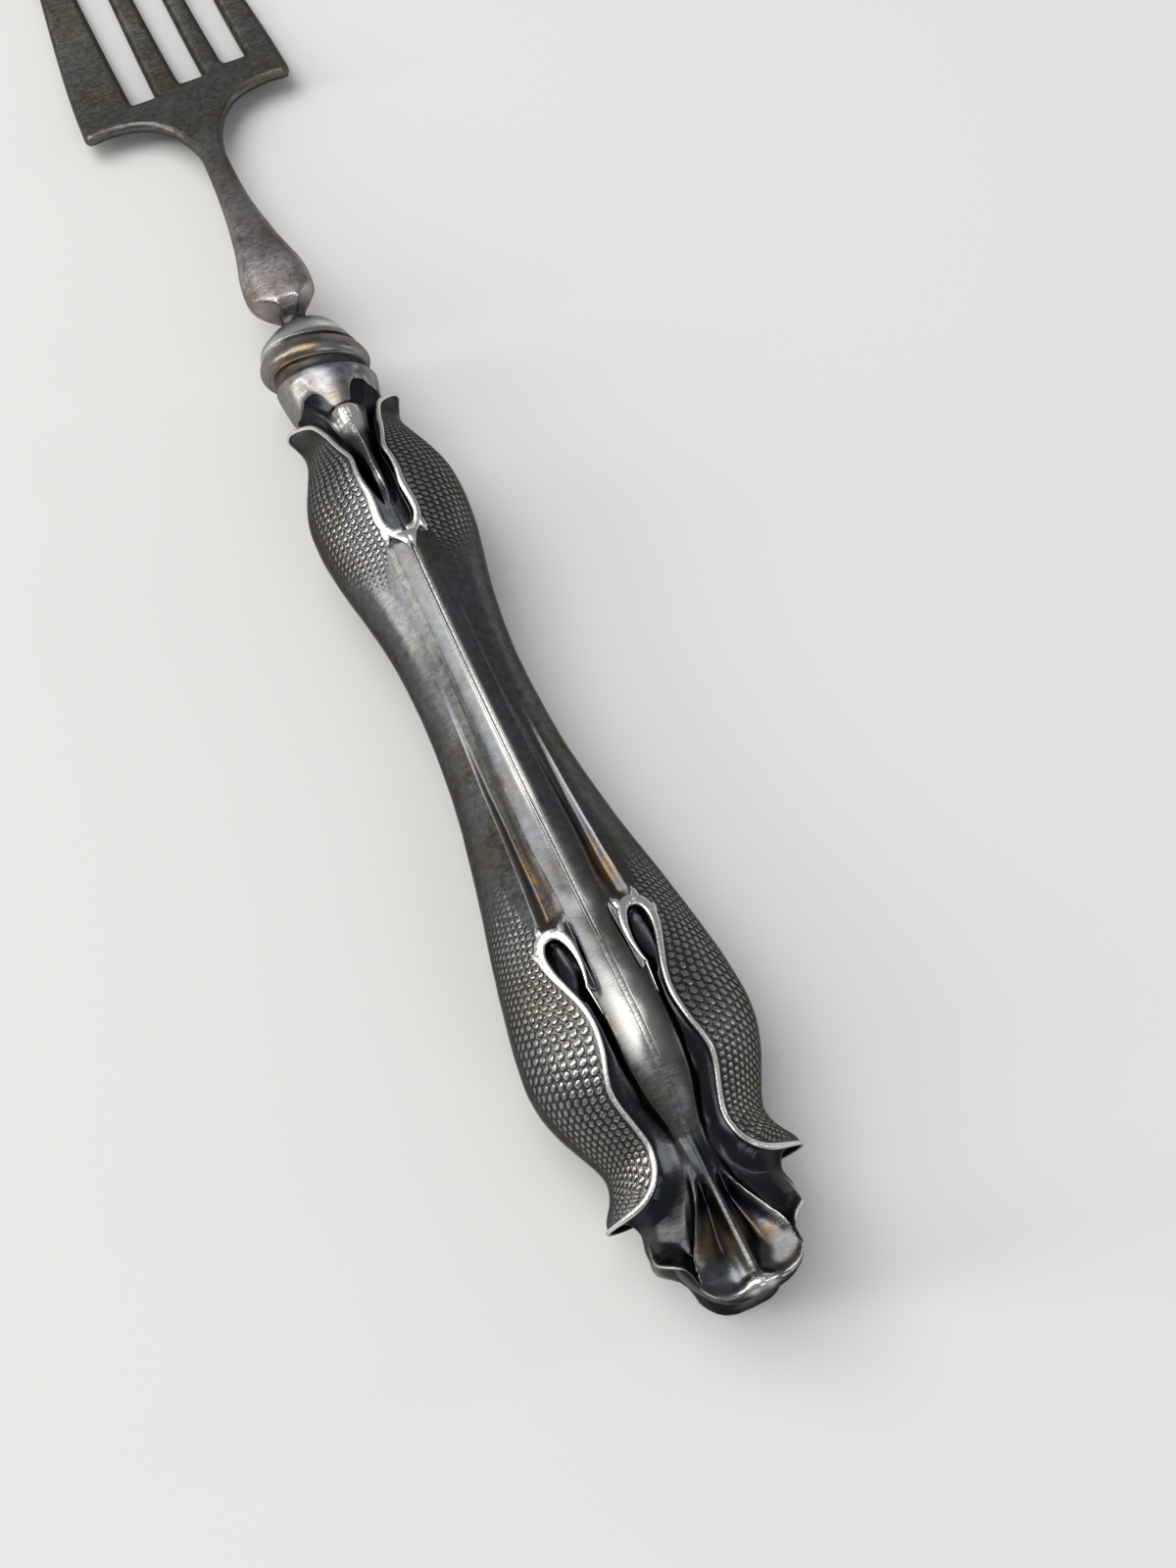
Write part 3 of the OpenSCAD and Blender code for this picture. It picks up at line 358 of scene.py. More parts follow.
    scaled = np.clip(low_scales + up_scales, 0, 1)
    # A tarnish film in the flutes, and a painted warm reflection on the sides of the front petal's furrows.
    tarnish_and_reflection = bell(31.0, 2.6, s) * np.clip(-cut / 0.35, 0, 1)
    tarnish_and_reflection += 0.8 * bell(0.72, 0.2, a2 / ridge) * ramp(2.6, 4.0, s2) * ramp(8.0, 6.8, s2) * sink
    # Painted highlights on the ridge between the front and side petals, on the cup's rim and on the side petals' rolled
    # lip.
    painted_ridge_highlight = bell(-0.4, 2.4, a2 - ridge) * ramp(2.8, 3.5, s2) * ramp(7.4, 6.0, s2) * sink
    painted_ridge_highlight += 0.9 * cup_high * bell(0.05, 0.2, d_cup) + 0.7 * bell(0, 0.7, off_crest) * ramp(0, 4, a2 - ridge)
    # Twelve columns of scales fan out from the rim to the side, and a row is 0.73 as long as a column is wide
    columns = fan * 12.0
    pitch = np.maximum((np.pi / 2 - np.radians(far_line(s[:, -1]))) * half_width(s[:, -1]) / 12 * 0.73, 0.2)
    along = np.cumsum(np.gradient(s[:, -1]) / pitch)[:, None] + (a - 90) * 0.03
    raised = SCALE_HIGH * scale_shape(columns, along) * scaled
    return dict(x=across + raised * np.sin(turn), y=s2 - MID, z=up + raised * np.cos(turn), painted_highlight_and_wear=np.clip(painted_highlight_and_wear, 0, 1),
                tarnish_and_shade=np.clip(tarnish_and_shade, 0, 1), scaled=scaled, tarnish_and_reflection=np.clip(tarnish_and_reflection, 0, 1), painted_ridge_highlight=painted_ridge_highlight, u=columns,
                v=along)


SCALE_HIGH = 0.075


def scale_shape(u, v):
    """Height from 0 to 1 of the staggered scales, one in each cell of the map u, v. With x and y measured from
    the cell's middle and r = sqrt((x / 0.48)^2 + (y / 0.49)^2), it rises from r = 1 inwards, in a short step on
    the lower side and a long slope on the upper side."""
    column = np.floor(u)
    x = u - column - 0.5
    y = (v + 0.5 * (column % 2)) % 1 - 0.5
    r = np.sqrt((x / 0.48) ** 2 + (y / 0.49) ** 2)
    t = np.clip((1 - r) / (0.22 + 0.45 * ramp(-0.1, 0.3, y)), 0, 1)
    return t * t * (3 - 2 * t) * (1 - 0.4 * y)


def lip_light(s, a):
    """Wear and a painted highlight on the crisp outer edge of the flutes."""
    return bell(0, 1.3, a - flute_crease(s) - 0.8) * ramp(28, 31, s) * ramp(50, 42, s)


def strip_faces(rows, columns, closed=False, first=0):
    """Four-sided faces of a grid of rows and columns, as a table of corner numbers."""
    i = np.arange(rows - 1)[:, None] * columns
    j = np.arange(columns if closed else columns - 1)[None, :]
    k = (j + 1) % columns
    return first + np.stack([i + j, i + columns + j, i + columns + k, i + k], -1).reshape(-1, 4)


def flipped(faces):
    """The same faces turned round, so that they face the other way."""
    return np.where(faces[:, 3:] < 0, faces[:, [0, 2, 1, 3]], faces[:, [0, 3, 2, 1]])


def make_piece(name, points, faces):
    """A mesh object from points in millimetres and rows of corner numbers, where -1 fills a three-sided face."""
    mesh = bpy.data.meshes.new(name)
    faces = np.asarray(faces)
    sizes = (faces >= 0).sum(1)
    corners = faces[faces >= 0]
    mesh.vertices.add(len(points))
    mesh.vertices.foreach_set("co", (np.asarray(points, float) / 1000).astype(np.float32).ravel())
    mesh.loops.add(len(corners))
    mesh.loops.foreach_set("vertex_index", corners.astype(np.int32))
    mesh.polygons.add(len(faces))
    mesh.polygons.foreach_set("loop_start", np.concatenate([[0], np.cumsum(sizes)[:-1]]).astype(np.int32))
    mesh.polygons.foreach_set("use_smooth", np.ones(len(faces), bool))
    mesh.update(calc_edges=True)
    mesh.validate()
    piece = bpy.data.objects.new(name, mesh)
    bpy.context.scene.collection.objects.link(piece)
    return piece


def put_mask(piece, name, values):
    """Stores one number per vertex for the material."""
    layer = piece.data.attributes.new(name, 'FLOAT', 'POINT')
    layer.data.foreach_set("value", np.asarray(values, np.float32).ravel())


def put_uv(piece, name, u, v):
    """Stores a two-number coordinate per corner, from values per vertex."""
    layer = piece.data.uv_layers.new(name=name)
    corner = np.empty(len(piece.data.loops), np.int32)
    piece.data.loops.foreach_get("vertex_index", corner)
    layer.data.foreach_set("uv", np.stack([u.ravel()[corner], v.ravel()[corner]], -1).astype(np.float32).ravel())


def tucked(points):
    """Draws the back of the end in towards the axis, as the real end rounds off below its front petal."""
    share = 1 - 0.15 * ramp(5.5, 0.4, points[..., 1:2] + MID) * ramp(1.0, -2.5, points[..., 2:])
    return points * np.concatenate([share, np.ones_like(share), share], -1)


def stamped_shell(name, side, sway):
    """Half the handle on one side (+1 or -1): the quarter's surface and its mirror image at the back, a smooth
    lining, an inward dome at the end and flat faces beside the solder. sway makes small dents by sine waves."""
    part = quarter_surface()
    # Painted highlights on the petals' ridges, strong on the right shell and faint on the left.
    part["painted_highlight_and_wear"] = np.clip(part["painted_highlight_and_wear"] + (0.6 if side > 0 else 0.15) * part["painted_ridge_highlight"], 0, 1)
    front = np.stack([part["x"], part["y"], part["z"]], -1)
    back = front[:, -2::-1] * [1, 1, -1]
    skin = tucked(np.concatenate([front, back], 1))
    dent = 0.018 * (np.sin(skin[..., 1] * 0.83 + sway) * np.sin(skin[..., 2] * 1.1 + 2 * sway)
                    + 0.6 * np.sin(skin[..., 1] * 2.3 + 3 * sway) * np.sin(skin[..., 0] * 2.7 + sway))
    radius = np.hypot(skin[..., 0], skin[..., 2])[..., None]
    skin = skin + np.where(skin[..., 1:2] < COLLAR_AT - MID, dent[..., None] * skin * [1, 0, 1] / radius, 0)
    skin[:, [0, -1], 0] = SEAM_HALF
    skin[..., 2] += AXIS
    rows, columns = skin.shape[:2]
    # The underside of the petals: rings that shrink from the lip to a pole inside
    keep = np.array([0.985, 0.95, 0.88, 0.78, 0.62, 0.42, 0.2])[:, None, None]
    lip_row = skin[:1]
    pole = np.array([SEAM_HALF, 0.35 - MID, AXIS])
    dome = pole + (lip_row - pole) * keep
    dome[..., 1] = pole[1] + (lip_row[..., 1] - pole[1]) * keep[..., 0] ** 3
    dome = dome[::-1]
    shell = np.concatenate([dome, skin])
    all_rows = len(shell)
    # The lining, half a millimetre inside, with few columns
    pick = np.linspace(0, columns - 1, 13).astype(int)
    s_row = np.linspace(3.78, COLLAR_AT + 0.6, all_rows)
    angle = np.radians(np.linspace(0, 180, 13))
    wide = through_stations(s_row, 2.9, 6.85, 2.4, 4.25, 2.81)[:, None]
    deep = through_stations(s_row, 3.1, 5.2, 2.3, 3.6, 2.81)[:, None]
    close = (0.75 + 0.25 * ramp(2.1, NIP, s_row))[:, None]
    lining = np.stack([SEAM_HALF + wide * close * np.sin(angle), np.broadcast_to(s_row[:, None] - MID, (all_rows, 13)),
                       AXIS + deep * close * np.cos(angle)], -1)
    points = np.concatenate([shell.reshape(-1, 3), lining.reshape(-1, 3)])
    first = all_rows * columns
    outer = strip_faces(all_rows, columns)
    inner = strip_faces(all_rows, 13, first=first)[:, ::-1]
    r = np.arange(all_rows - 1)
    left = np.stack([r * columns, first + r * 13, first + (r + 1) * 13, (r + 1) * columns], -1)
    right = np.stack([r * columns + columns - 1, (r + 1) * columns + columns - 1,
                      first + (r + 1) * 13 + 12, first + r * 13 + 12], -1)
    faces = np.concatenate([outer, inner, left, right])
    # Close the pole of the dome, the inner end and the top edge
    def fan(ring, centre, flip):
        ring = ring[::-1] if flip else ring
        return np.stack([np.full(len(ring) - 1, centre), ring[:-1], ring[1:], np.full(len(ring) - 1, -1)], -1)
    points = np.concatenate([points, [pole, [SEAM_HALF, 3.78 - MID, AXIS]]])
    outer_pole, inner_pole = len(points) - 2, len(points) - 1
    faces = np.concatenate([
        faces,
        fan(np.arange(columns), outer_pole, False),
        fan(first + np.arange(13), inner_pole, True),
        [[outer_pole, inner_pole, first, 0], [inner_pole, outer_pole, columns - 1, first + 12]]])
    top_out, top_in = (all_rows - 1) * columns, first + (all_rows - 1) * 13
    jump = np.searchsorted(pick, np.arange(columns), side="right") - 1
    jump = np.minimum(jump, 12)
    c = np.arange(columns - 1)
    lid = np.stack([top_out + c, top_in + jump[:-1], top_out + c + 1, np.full(columns - 1, -1)], -1)
    step = np.nonzero(jump[1:] > jump[:-1])[0]
    lid2 = np.stack([top_out + step + 1, top_in + jump[step], top_in + jump[step + 1], np.full(len(step), -1)], -1)
    faces = np.concatenate([faces, lid, lid2])
    if side > 0:
        faces = flipped(faces)
    else:
        points = points * [-1, 1, 1]
    piece = make_piece(name, points, faces)
    rest = len(points) - all_rows * columns
    def spread(key, dome_value=None):
        q = part[key]
        row = np.concatenate([q, q[:, -2::-1]], 1)
        rim = np.repeat(row[:1], len(dome), 0) if dome_value is None else np.full((len(dome), columns), dome_value)
        return np.concatenate([np.concatenate([rim, row]).ravel(), np.zeros(rest)])
    # The inward dome at the end is given dark tone and painted shade, and no bright wear or highlight.
    for key, value in (("painted_highlight_and_wear", 0.0), ("tarnish_and_shade", 0.8), ("scaled", 0.0), ("tarnish_and_reflection", 0.0)):
        put_mask(piece, key, spread(key, value))
    if side > 0:
        # A dark scar beside the solder line, low on the waist
        tarnish_and_shade = np.empty(len(points), np.float32)
        piece.data.attributes["tarnish_and_shade"].data.foreach_get("value", tarnish_and_shade)
        away = np.hypot((points[:, 0] - 0.45) / 0.3, (points[:, 1] + MID - 36.6) / 0.55)
        tarnish_and_shade += 0.9 * bell(0, 1, away) * (points[:, 2] > AXIS)
        piece.data.attributes["tarnish_and_shade"].data.foreach_set("value", np.clip(tarnish_and_shade, 0, 1))
    put_uv(piece, "scales", spread("u"), spread("v"))
    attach(piece, "root")
    return piece


left_shell = stamped_shell("left_shell_skin", -1, 0.4)
right_shell = stamped_shell("right_shell_skin", 1, 2.1)
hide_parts("left_shell")
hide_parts("right_shell")


def bead(path, both_sides=True, lift=0.35, sides=12):
    """A rounded bead along a path of [place, angle, half width] on the leaves' edges. Its section is a
    squarish ellipse as wide as the path says and less high, that stands square to the handle's surface. With
    both_sides it goes on over the handle's side to the back, as the path's mirror image."""
    s, a, w = path.T
    x, z, _ = leaf_body(s, a)
    turn = np.radians(a)
    line = np.stack([SEAM_HALF + x * np.sin(turn) * (1 - 2 * SEAM_HALF / 17.3), s - MID, z * np.cos(turn)], -1)
    out = np.stack([np.sin(turn) / x, 0 * s, np.cos(turn) / z], -1)
    if both_sides:
        line = np.concatenate([line, line[-2::-1] * [1, 1, -1]])
        out = np.concatenate([out, out[-2::-1] * [1, 1, -1]])
        w = np.concatenate([w, w[-2::-1]])
    out /= np.linalg.norm(out, axis=1)[:, None]
    run = np.gradient(line, axis=0)
    run /= np.linalg.norm(run, axis=1)[:, None]
    out -= (out * run).sum(1)[:, None] * run
    out /= np.linalg.norm(out, axis=1)[:, None]
    over = np.cross(run, out)
    ring = np.linspace(0, 2 * np.pi, sides, endpoint=False)[None, :, None]
    wide, high = w[:, None, None], np.clip(w, 0.1, 0.24)[:, None, None] * 0.95
    centre = line[:, None] + out[:, None] * lift * high
    sideways, upwards = (np.sign(v) * np.abs(v) ** 0.72 for v in (np.cos(ring), np.sin(ring)))
    points = centre + over[:, None] * wide * sideways + out[:, None] * high * upwards
    faces = strip_faces(len(line), sides, closed=True)
    first = len(line) * sides
    k = np.arange(sides)
    low = np.stack([np.full(sides, first), k, (k + 1) % sides, np.full(sides, -1)], -1)
    top = np.stack([np.full(sides, first + 1), (len(line) - 1) * sides + (k + 1) % sides, (len(line) - 1) * sides + k,
                    np.full(sides, -1)], -1)
    crest = ramp(-0.5, 0.75, np.sin(ring[..., 0])) * np.ones(points.shape[:2])
    return (np.concatenate([points.reshape(-1, 3), line[[0, -1]]]), np.concatenate([faces, low, top]),
            np.concatenate([crest.ravel(), [0, 0]]))


def leaf_rims(name, side, widest):
    """All the beads of one shell in one piece, on one side (+1 or -1) of the handle. Those of the upper
    leaves are at most as wide as widest says."""
    def slimmed(path):
        return np.column_stack([path[:, :2], np.minimum(path[:, 2], widest + 0.25 * bell(0, 6, path[:, 1]))])
    parts = [bead(lower_rim), bead(slimmed(upper_rim))]
    for spur in lower_spurs + [slimmed(path) for path in upper_spurs]:
        front = bead(spur, both_sides=False)
        parts += [front, (front[0] * [1, 1, -1], flipped(front[1]), front[2])]
    points, faces, painted_highlight_and_wear, first = [], [], [], 0
    for p, f, crest in parts:
        points.append(p)
        faces.append(np.where(f < 0, -1, f + first))
        painted_highlight_and_wear.append(crest)
        first += len(p)
    points, faces = np.concatenate(points) * [side, 1, 1] + [0, 0, AXIS], np.concatenate(faces)
    piece = make_piece(name, points, faces if side > 0 else flipped(faces))
    put_mask(piece, "painted_highlight_and_wear", np.concatenate(painted_highlight_and_wear))
    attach(piece, "root")
    return piece


left_rims = leaf_rims("left_leaf_rims", -1, 0.55)
right_rims = leaf_rims("right_leaf_rims", 1, 0.3)
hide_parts("left_shell")
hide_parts("right_shell")


def start_group(name, inputs, outputs):
    """A shader node group with named inputs as (name, kind, value) and outputs as (name, kind). Gives the
    group, a call that adds a node to it, and one that joins two sockets."""
    group = bpy.data.node_groups.new(name, 'ShaderNodeTree')
    for label, kind, value in inputs:
        socket = group.interface.new_socket(label, in_out='INPUT', socket_type=kind)
        if value is not None:
            socket.default_value = value
    for label, kind in outputs:
        group.interface.new_socket(label, in_out='OUTPUT', socket_type=kind)
    return group, *node_tools(group)


def node_tools(tree):
    """Two short calls for a node tree. add(kind, values by input, settings by name) puts in a node, whose
    inputs are numbers, colours or other nodes' outputs. join(a, b) links an output to an input."""
    def join(a, b):
        tree.links.new(a, b)

    def add(kind, *values, **settings):
        node = tree.nodes.new(kind)
        for key, value in settings.items():
            setattr(node, key, value)
        for place, value in enumerate(values):
            if isinstance(value, bpy.types.NodeSocket):
                join(value, node.inputs[place])
            elif value is not None:
                node.inputs[place].default_value = value
        return node
    return add, join


def maths(add, kind, a, b=None, c=None, clamp=False):
    """The output of one Math node."""
    return add('ShaderNodeMath', a, b, c, operation=kind, use_clamp=clamp).outputs[0]


def blended(add, share, a, b, kind='MIX'):
    """The output of one colour Mix node."""
    node = add('ShaderNodeMix', data_type='RGBA', blend_type=kind, clamp_factor=True)
    for place, value in ((0, share), (6, a), (7, b)):
        if isinstance(value, bpy.types.NodeSocket):
            node.id_data.links.new(value, node.inputs[place])
        else:
            node.inputs[place].default_value = value
    return node.outputs[2]


def scale_pattern():
    """The same staggered scales as in scale_shape, for the fine edges. One scale fills each cell of the map,
    and every second column is moved half a cell. Gives the height, a painted shade as a dark crescent round the
    lower edge of each scale, and its bright top."""
    group, add, join = start_group("leaf scales", [("Map", 'NodeSocketVector', None)],
                                   [("Height", 'NodeSocketFloat'), ("Gap", 'NodeSocketFloat'),
                                    ("Top", 'NodeSocketFloat')])
    source = add('NodeGroupInput')
    parts = add('ShaderNodeSeparateXYZ', source.outputs[0])
    u, v = parts.outputs[0], parts.outputs[1]
    column = maths(add, 'FLOOR', u)
    odd = maths(add, 'MULTIPLY', maths(add, 'FLOORED_MODULO', column, 2.0), 0.5)
    x = maths(add, 'SUBTRACT', maths(add, 'FRACT', u), 0.5)
    y = maths(add, 'SUBTRACT', maths(add, 'FRACT', maths(add, 'ADD', v, odd)), 0.5)
    # Rough edges: a little noise on the distance from the scale's middle
    wobble = add('ShaderNodeTexNoise', source.outputs[0], noise_dimensions='2D')
    wobble.inputs['Scale'].default_value = 2.2
    wobble.inputs['Detail'].default_value = 2
    wide, high = maths(add, 'DIVIDE', x, 0.48), maths(add, 'DIVIDE', y, 0.49)
    r = maths(add, 'SQRT', maths(add, 'MULTIPLY_ADD', wide, wide, maths(add, 'MULTIPLY', high, high)))
    r = maths(add, 'ADD', r, maths(add, 'MULTIPLY_ADD', wobble.outputs['Fac'], 0.5, -0.25))
    sheet = add('NodeGroupOutput')
    dome = add('ShaderNodeMapRange', r, 1.0, 0.55, 0.0, 1.0, interpolation_type='SMOOTHSTEP').outputs[0]
    join(maths(add, 'MULTIPLY', dome, maths(add, 'MULTIPLY_ADD', y, -0.4, 1.0)), sheet.inputs[0])
    edge = maths(add, 'SUBTRACT', 1.0, maths(add, 'DIVIDE', maths(add, 'ABSOLUTE', maths(add, 'SUBTRACT', r, 1.0)),
                                             0.24), clamp=True)
    below = add('ShaderNodeMapRange', y, 0.3, -0.1, 0.35, 1.0).outputs[0]
    join(maths(add, 'MULTIPLY', edge, below), sheet.inputs[1])
    top = add('ShaderNodeMapRange', r, 0.95, 0.5, 0.0, 1.0, interpolation_type='SMOOTHSTEP')
    join(top.outputs[0], sheet.inputs[2])
    return group


def toned_silver():
    """Silver that has toned: brown patches from broad noise, dark where the dark-tone input (dark tone and painted
    shade) is high and bright where the bright input (wear and painted highlights) is. Gives a colour and a roughness."""
    group, add, join = start_group(
        "toned silver",
        [("Place", 'NodeSocketVector', None), ("Base", 'NodeSocketColor', (0.3, 0.29, 0.28, 1)),
         ("Bright", 'NodeSocketColor', (0.86, 0.85, 0.82, 1)), ("Dark", 'NodeSocketColor', (0.045, 0.04, 0.038, 1)),
         ("Warm", 'NodeSocketColor', (0.12, 0.085, 0.065, 1)), ("Wear", 'NodeSocketFloat', 0.0),
         ("Soot", 'NodeSocketFloat', 0.0), ("Tone", 'NodeSocketFloat', 0.4), ("Roughness", 'NodeSocketFloat', 0.35)],
        [("Color", 'NodeSocketColor'), ("Roughness", 'NodeSocketFloat')])
    source = add('NodeGroupInput')
    place, base, bright, dark, brown, wear_and_highlight, tarnish_and_shade, tone, rough = (source.outputs[i] for i in range(9))
    broad = add('ShaderNodeTexNoise', place)
    broad.inputs['Scale'].default_value = 230
    broad.inputs['Detail'].default_value = 5
    broad.inputs['Roughness'].default_value = 0.6
    fine = add('ShaderNodeTexNoise', place)
    fine.inputs['Scale'].default_value = 1700
    fine.inputs['Detail'].default_value = 4
    fine.inputs['Roughness'].default_value = 0.65
    warm = add('ShaderNodeMapRange', broad.outputs['Fac'], 0.44, 0.62, 0.0, 1.0)
    warmed = blended(add, maths(add, 'MULTIPLY', warm.outputs[0], tone), base, brown)
    cloudy = add('ShaderNodeMapRange', fine.outputs['Fac'], 0.3, 0.7, 0.72, 1.28)
    warmed = blended(add, 1.0, warmed, cloudy.outputs[0], 'MULTIPLY')
    # Dark tone and painted shade gather in spots where the mask is middling and cover all where it is high
    patchy = maths(add, 'ADD', tarnish_and_shade, maths(add, 'MULTIPLY_ADD', fine.outputs['Fac'], 0.6, -0.3))
    patchy = add('ShaderNodeMapRange', patchy, 0.15, 0.8, 0.0, 1.0)
    toned_and_shaded = blended(add, patchy.outputs[0], warmed, dark)
    rubbed_and_highlight = maths(add, 'ADD', wear_and_highlight, maths(add, 'MULTIPLY_ADD', fine.outputs['Fac'], -0.1, 0.05))
    rubbed_and_highlight = add('ShaderNodeMapRange', rubbed_and_highlight, 0.06, 1.0, 0.0, 1.0, interpolation_type='SMOOTHSTEP')
    sheet = add('NodeGroupOutput')
    join(blended(add, rubbed_and_highlight.outputs[0], toned_and_shaded, bright), sheet.inputs[0])
    dull = maths(add, 'ADD', rough, maths(add, 'MULTIPLY', patchy.outputs[0], -0.03))
    dull = maths(add, 'ADD', dull, maths(add, 'MULTIPLY_ADD', fine.outputs['Fac'], 0.14, -0.07))
    dull = maths(add, 'ADD', dull, maths(add, 'MULTIPLY', rubbed_and_highlight.outputs[0], -0.08), clamp=True)
    join(dull, sheet.inputs[1])
    return group


def fine_scratches():
    """Hair lines in three directions and small pits, as a height from 0 to 1, from stretched noise."""
    group, add, join = start_group("fine scratches", [("Place", 'NodeSocketVector', None)],
                                   [("Height", 'NodeSocketFloat')])
    source = add('NodeGroupInput')
    total = None
    for turn, stretch in ((0.5, (900, 14000, 900)), (-0.9, (700, 11000, 700)), (1.5, (1200, 16000, 1200))):
        turned = add('ShaderNodeMapping', source.outputs[0], None, (0.2, 0.1, turn), stretch)
        lines = add('ShaderNodeTexNoise', turned.outputs[0])
        lines.inputs['Scale'].default_value = 1
        lines.inputs['Detail'].default_value = 1
        cut = add('ShaderNodeMapRange', lines.outputs['Fac'], 0.62, 0.7, 0.0, 1.0).outputs[0]
        total = cut if total is None else maths(add, 'MAXIMUM', total, cut)
    pits = add('ShaderNodeTexNoise', source.outputs[0])
    pits.inputs['Scale'].default_value = 4200
    pits.inputs['Detail'].default_value = 2
    sheet = add('NodeGroupOutput')
    join(maths(add, 'SUBTRACT', maths(add, 'MULTIPLY', pits.outputs['Fac'], 0.6), maths(add, 'MULTIPLY', total, 0.4)),
         sheet.inputs[0])
    return group


scales_group, silver_group, scratch_group = scale_pattern(), toned_silver(), fine_scratches()


def use_group(add, group, **inputs):
    """Puts a node group into a material and sets or joins its inputs by name."""
    node = add('ShaderNodeGroup')
    node.node_tree = group
    for name, value in inputs.items():
        if isinstance(value, bpy.types.NodeSocket):
            node.id_data.links.new(value, node.inputs[name])
        else:
            node.inputs[name].default_value = value
    return node


def new_metal(name, edge=(1, 1, 1, 1)):
    """A material with a bare metal shader, whose reflection at a grazing angle takes the edge colour. Gives
    the material, its node calls and the shader."""
    material = bpy.data.materials.new(name)
    material.use_nodes = True
    add, join = node_tools(material.node_tree)
    shader = material.node_tree.nodes["Principled BSDF"]
    shader.inputs['Metallic'].default_value = 1.0
    shader.inputs['Specular Tint'].default_value = edge
    return material, add, join, shader


shell_silver, add, join, shader = new_metal("toned shell silver", (0.4, 0.39, 0.38, 1))
place = add('ShaderNodeTexCoord').outputs['Object']
mask = {key: add('ShaderNodeAttribute', attribute_name=key).outputs['Fac']
        for key in ("painted_highlight_and_wear", "tarnish_and_shade", "scaled", "tarnish_and_reflection")}
scales = use_group(add, scales_group, Map=add('ShaderNodeUVMap', uv_map="scales").outputs[0])
# The scales' gaps add painted shade, a dark crescent below each scale, to the dark mask.
scale_gap_shade = maths(add, 'MULTIPLY', scales.outputs['Gap'], mask["scaled"])
scale_top = maths(add, 'MULTIPLY', scales.outputs['Top'], mask["scaled"])
wear_and_highlight = maths(add, 'MAXIMUM', mask["painted_highlight_and_wear"], maths(add, 'MULTIPLY', scale_top, 0.4))
tarnish_and_shade = maths(add, 'MAXIMUM', mask["tarnish_and_shade"], maths(add, 'MULTIPLY', scale_gap_shade, 1.0))
# The dark colour is slightly bluish, a painted reflection of the sky in the hollows.
finish = use_group(add, silver_group, Place=place, Base=(0.108, 0.113, 0.118, 1), Bright=(0.8, 0.78, 0.73, 1),
                   Dark=(0.036, 0.038, 0.043, 1), Warm=(0.1, 0.083, 0.055, 1), Wear=wear_and_highlight, Soot=tarnish_and_shade, Tone=0.6,
                   Roughness=0.27)
# A thin film of colour, gold here and blue there: tarnish on the flutes' floor and a painted reflection on the furrows'
# sides
film = add('ShaderNodeTexNoise', place)
film.inputs['Scale'].default_value = 420
film.inputs['Detail'].default_value = 3
to_blue = add('ShaderNodeMapRange', film.outputs['Fac'], 0.5, 0.6, 0.0, 1.0).outputs[0]
film_and_reflection_colour = blended(add, to_blue, (0.2, 0.125, 0.05, 1), (0.045, 0.06, 0.12, 1))
colour_with_film_and_reflection = blended(add, maths(add, 'MULTIPLY', mask["tarnish_and_reflection"], 0.7), finish.outputs['Color'], film_and_reflection_colour)
join(colour_with_film_and_reflection, shader.inputs['Base Color'])
join(finish.outputs['Roughness'], shader.inputs['Roughness'])
scratch = use_group(add, scratch_group, Place=place)
relief = maths(add, 'MULTIPLY', scales.outputs['Height'], mask["scaled"])
bumps = add('ShaderNodeBump', invert=True)
bumps.inputs['Strength'].default_value = 1
bumps.inputs['Distance'].default_value = 0.00007
join(relief, bumps.inputs['Height'])
worn = add('ShaderNodeBump', invert=True)
worn.inputs['Strength'].default_value = 0.3
worn.inputs['Distance'].default_value = 0.00002
join(scratch.outputs[0], worn.inputs['Height'])
join(bumps.outputs[0], worn.inputs['Normal'])
join(worn.outputs[0], shader.inputs['Normal'])
for piece in (left_shell, right_shell):
    piece.data.materials.append(shell_silver)

rim_silver, add, join, shader = new_metal("worn rim silver", (0.7, 0.7, 0.7, 1))
place = add('ShaderNodeTexCoord').outputs['Object']
crest = add('ShaderNodeAttribute', attribute_name="painted_highlight_and_wear").outputs['Fac']
wear_and_highlight = add('ShaderNodeMapRange', crest, 0.0, 1.0, 0.1, 0.72).outputs[0]
finish = use_group(add, silver_group, Place=place, Base=(0.2, 0.19, 0.17, 1), Wear=wear_and_highlight, Soot=0.0, Tone=0.4,
                   Roughness=0.34)
join(finish.outputs['Color'], shader.inputs['Base Color'])
join(finish.outputs['Roughness'], shader.inputs['Roughness'])
scratch = use_group(add, scratch_group, Place=place)
worn = add('ShaderNodeBump')
worn.inputs['Strength'].default_value = 0.4
worn.inputs['Distance'].default_value = 0.00003
join(scratch.outputs[0], worn.inputs['Height'])
join(worn.outputs[0], shader.inputs['Normal'])
for piece in (left_rims, right_rims):
    piece.data.materials.append(rim_silver)

# The solder lines between the shells.
# Each is a thin strip of solder that fills the join, front and back. It lies almost level on the petals and
# the stem, stands as two low beads on the waist, and has small nicks where tools have caught it.


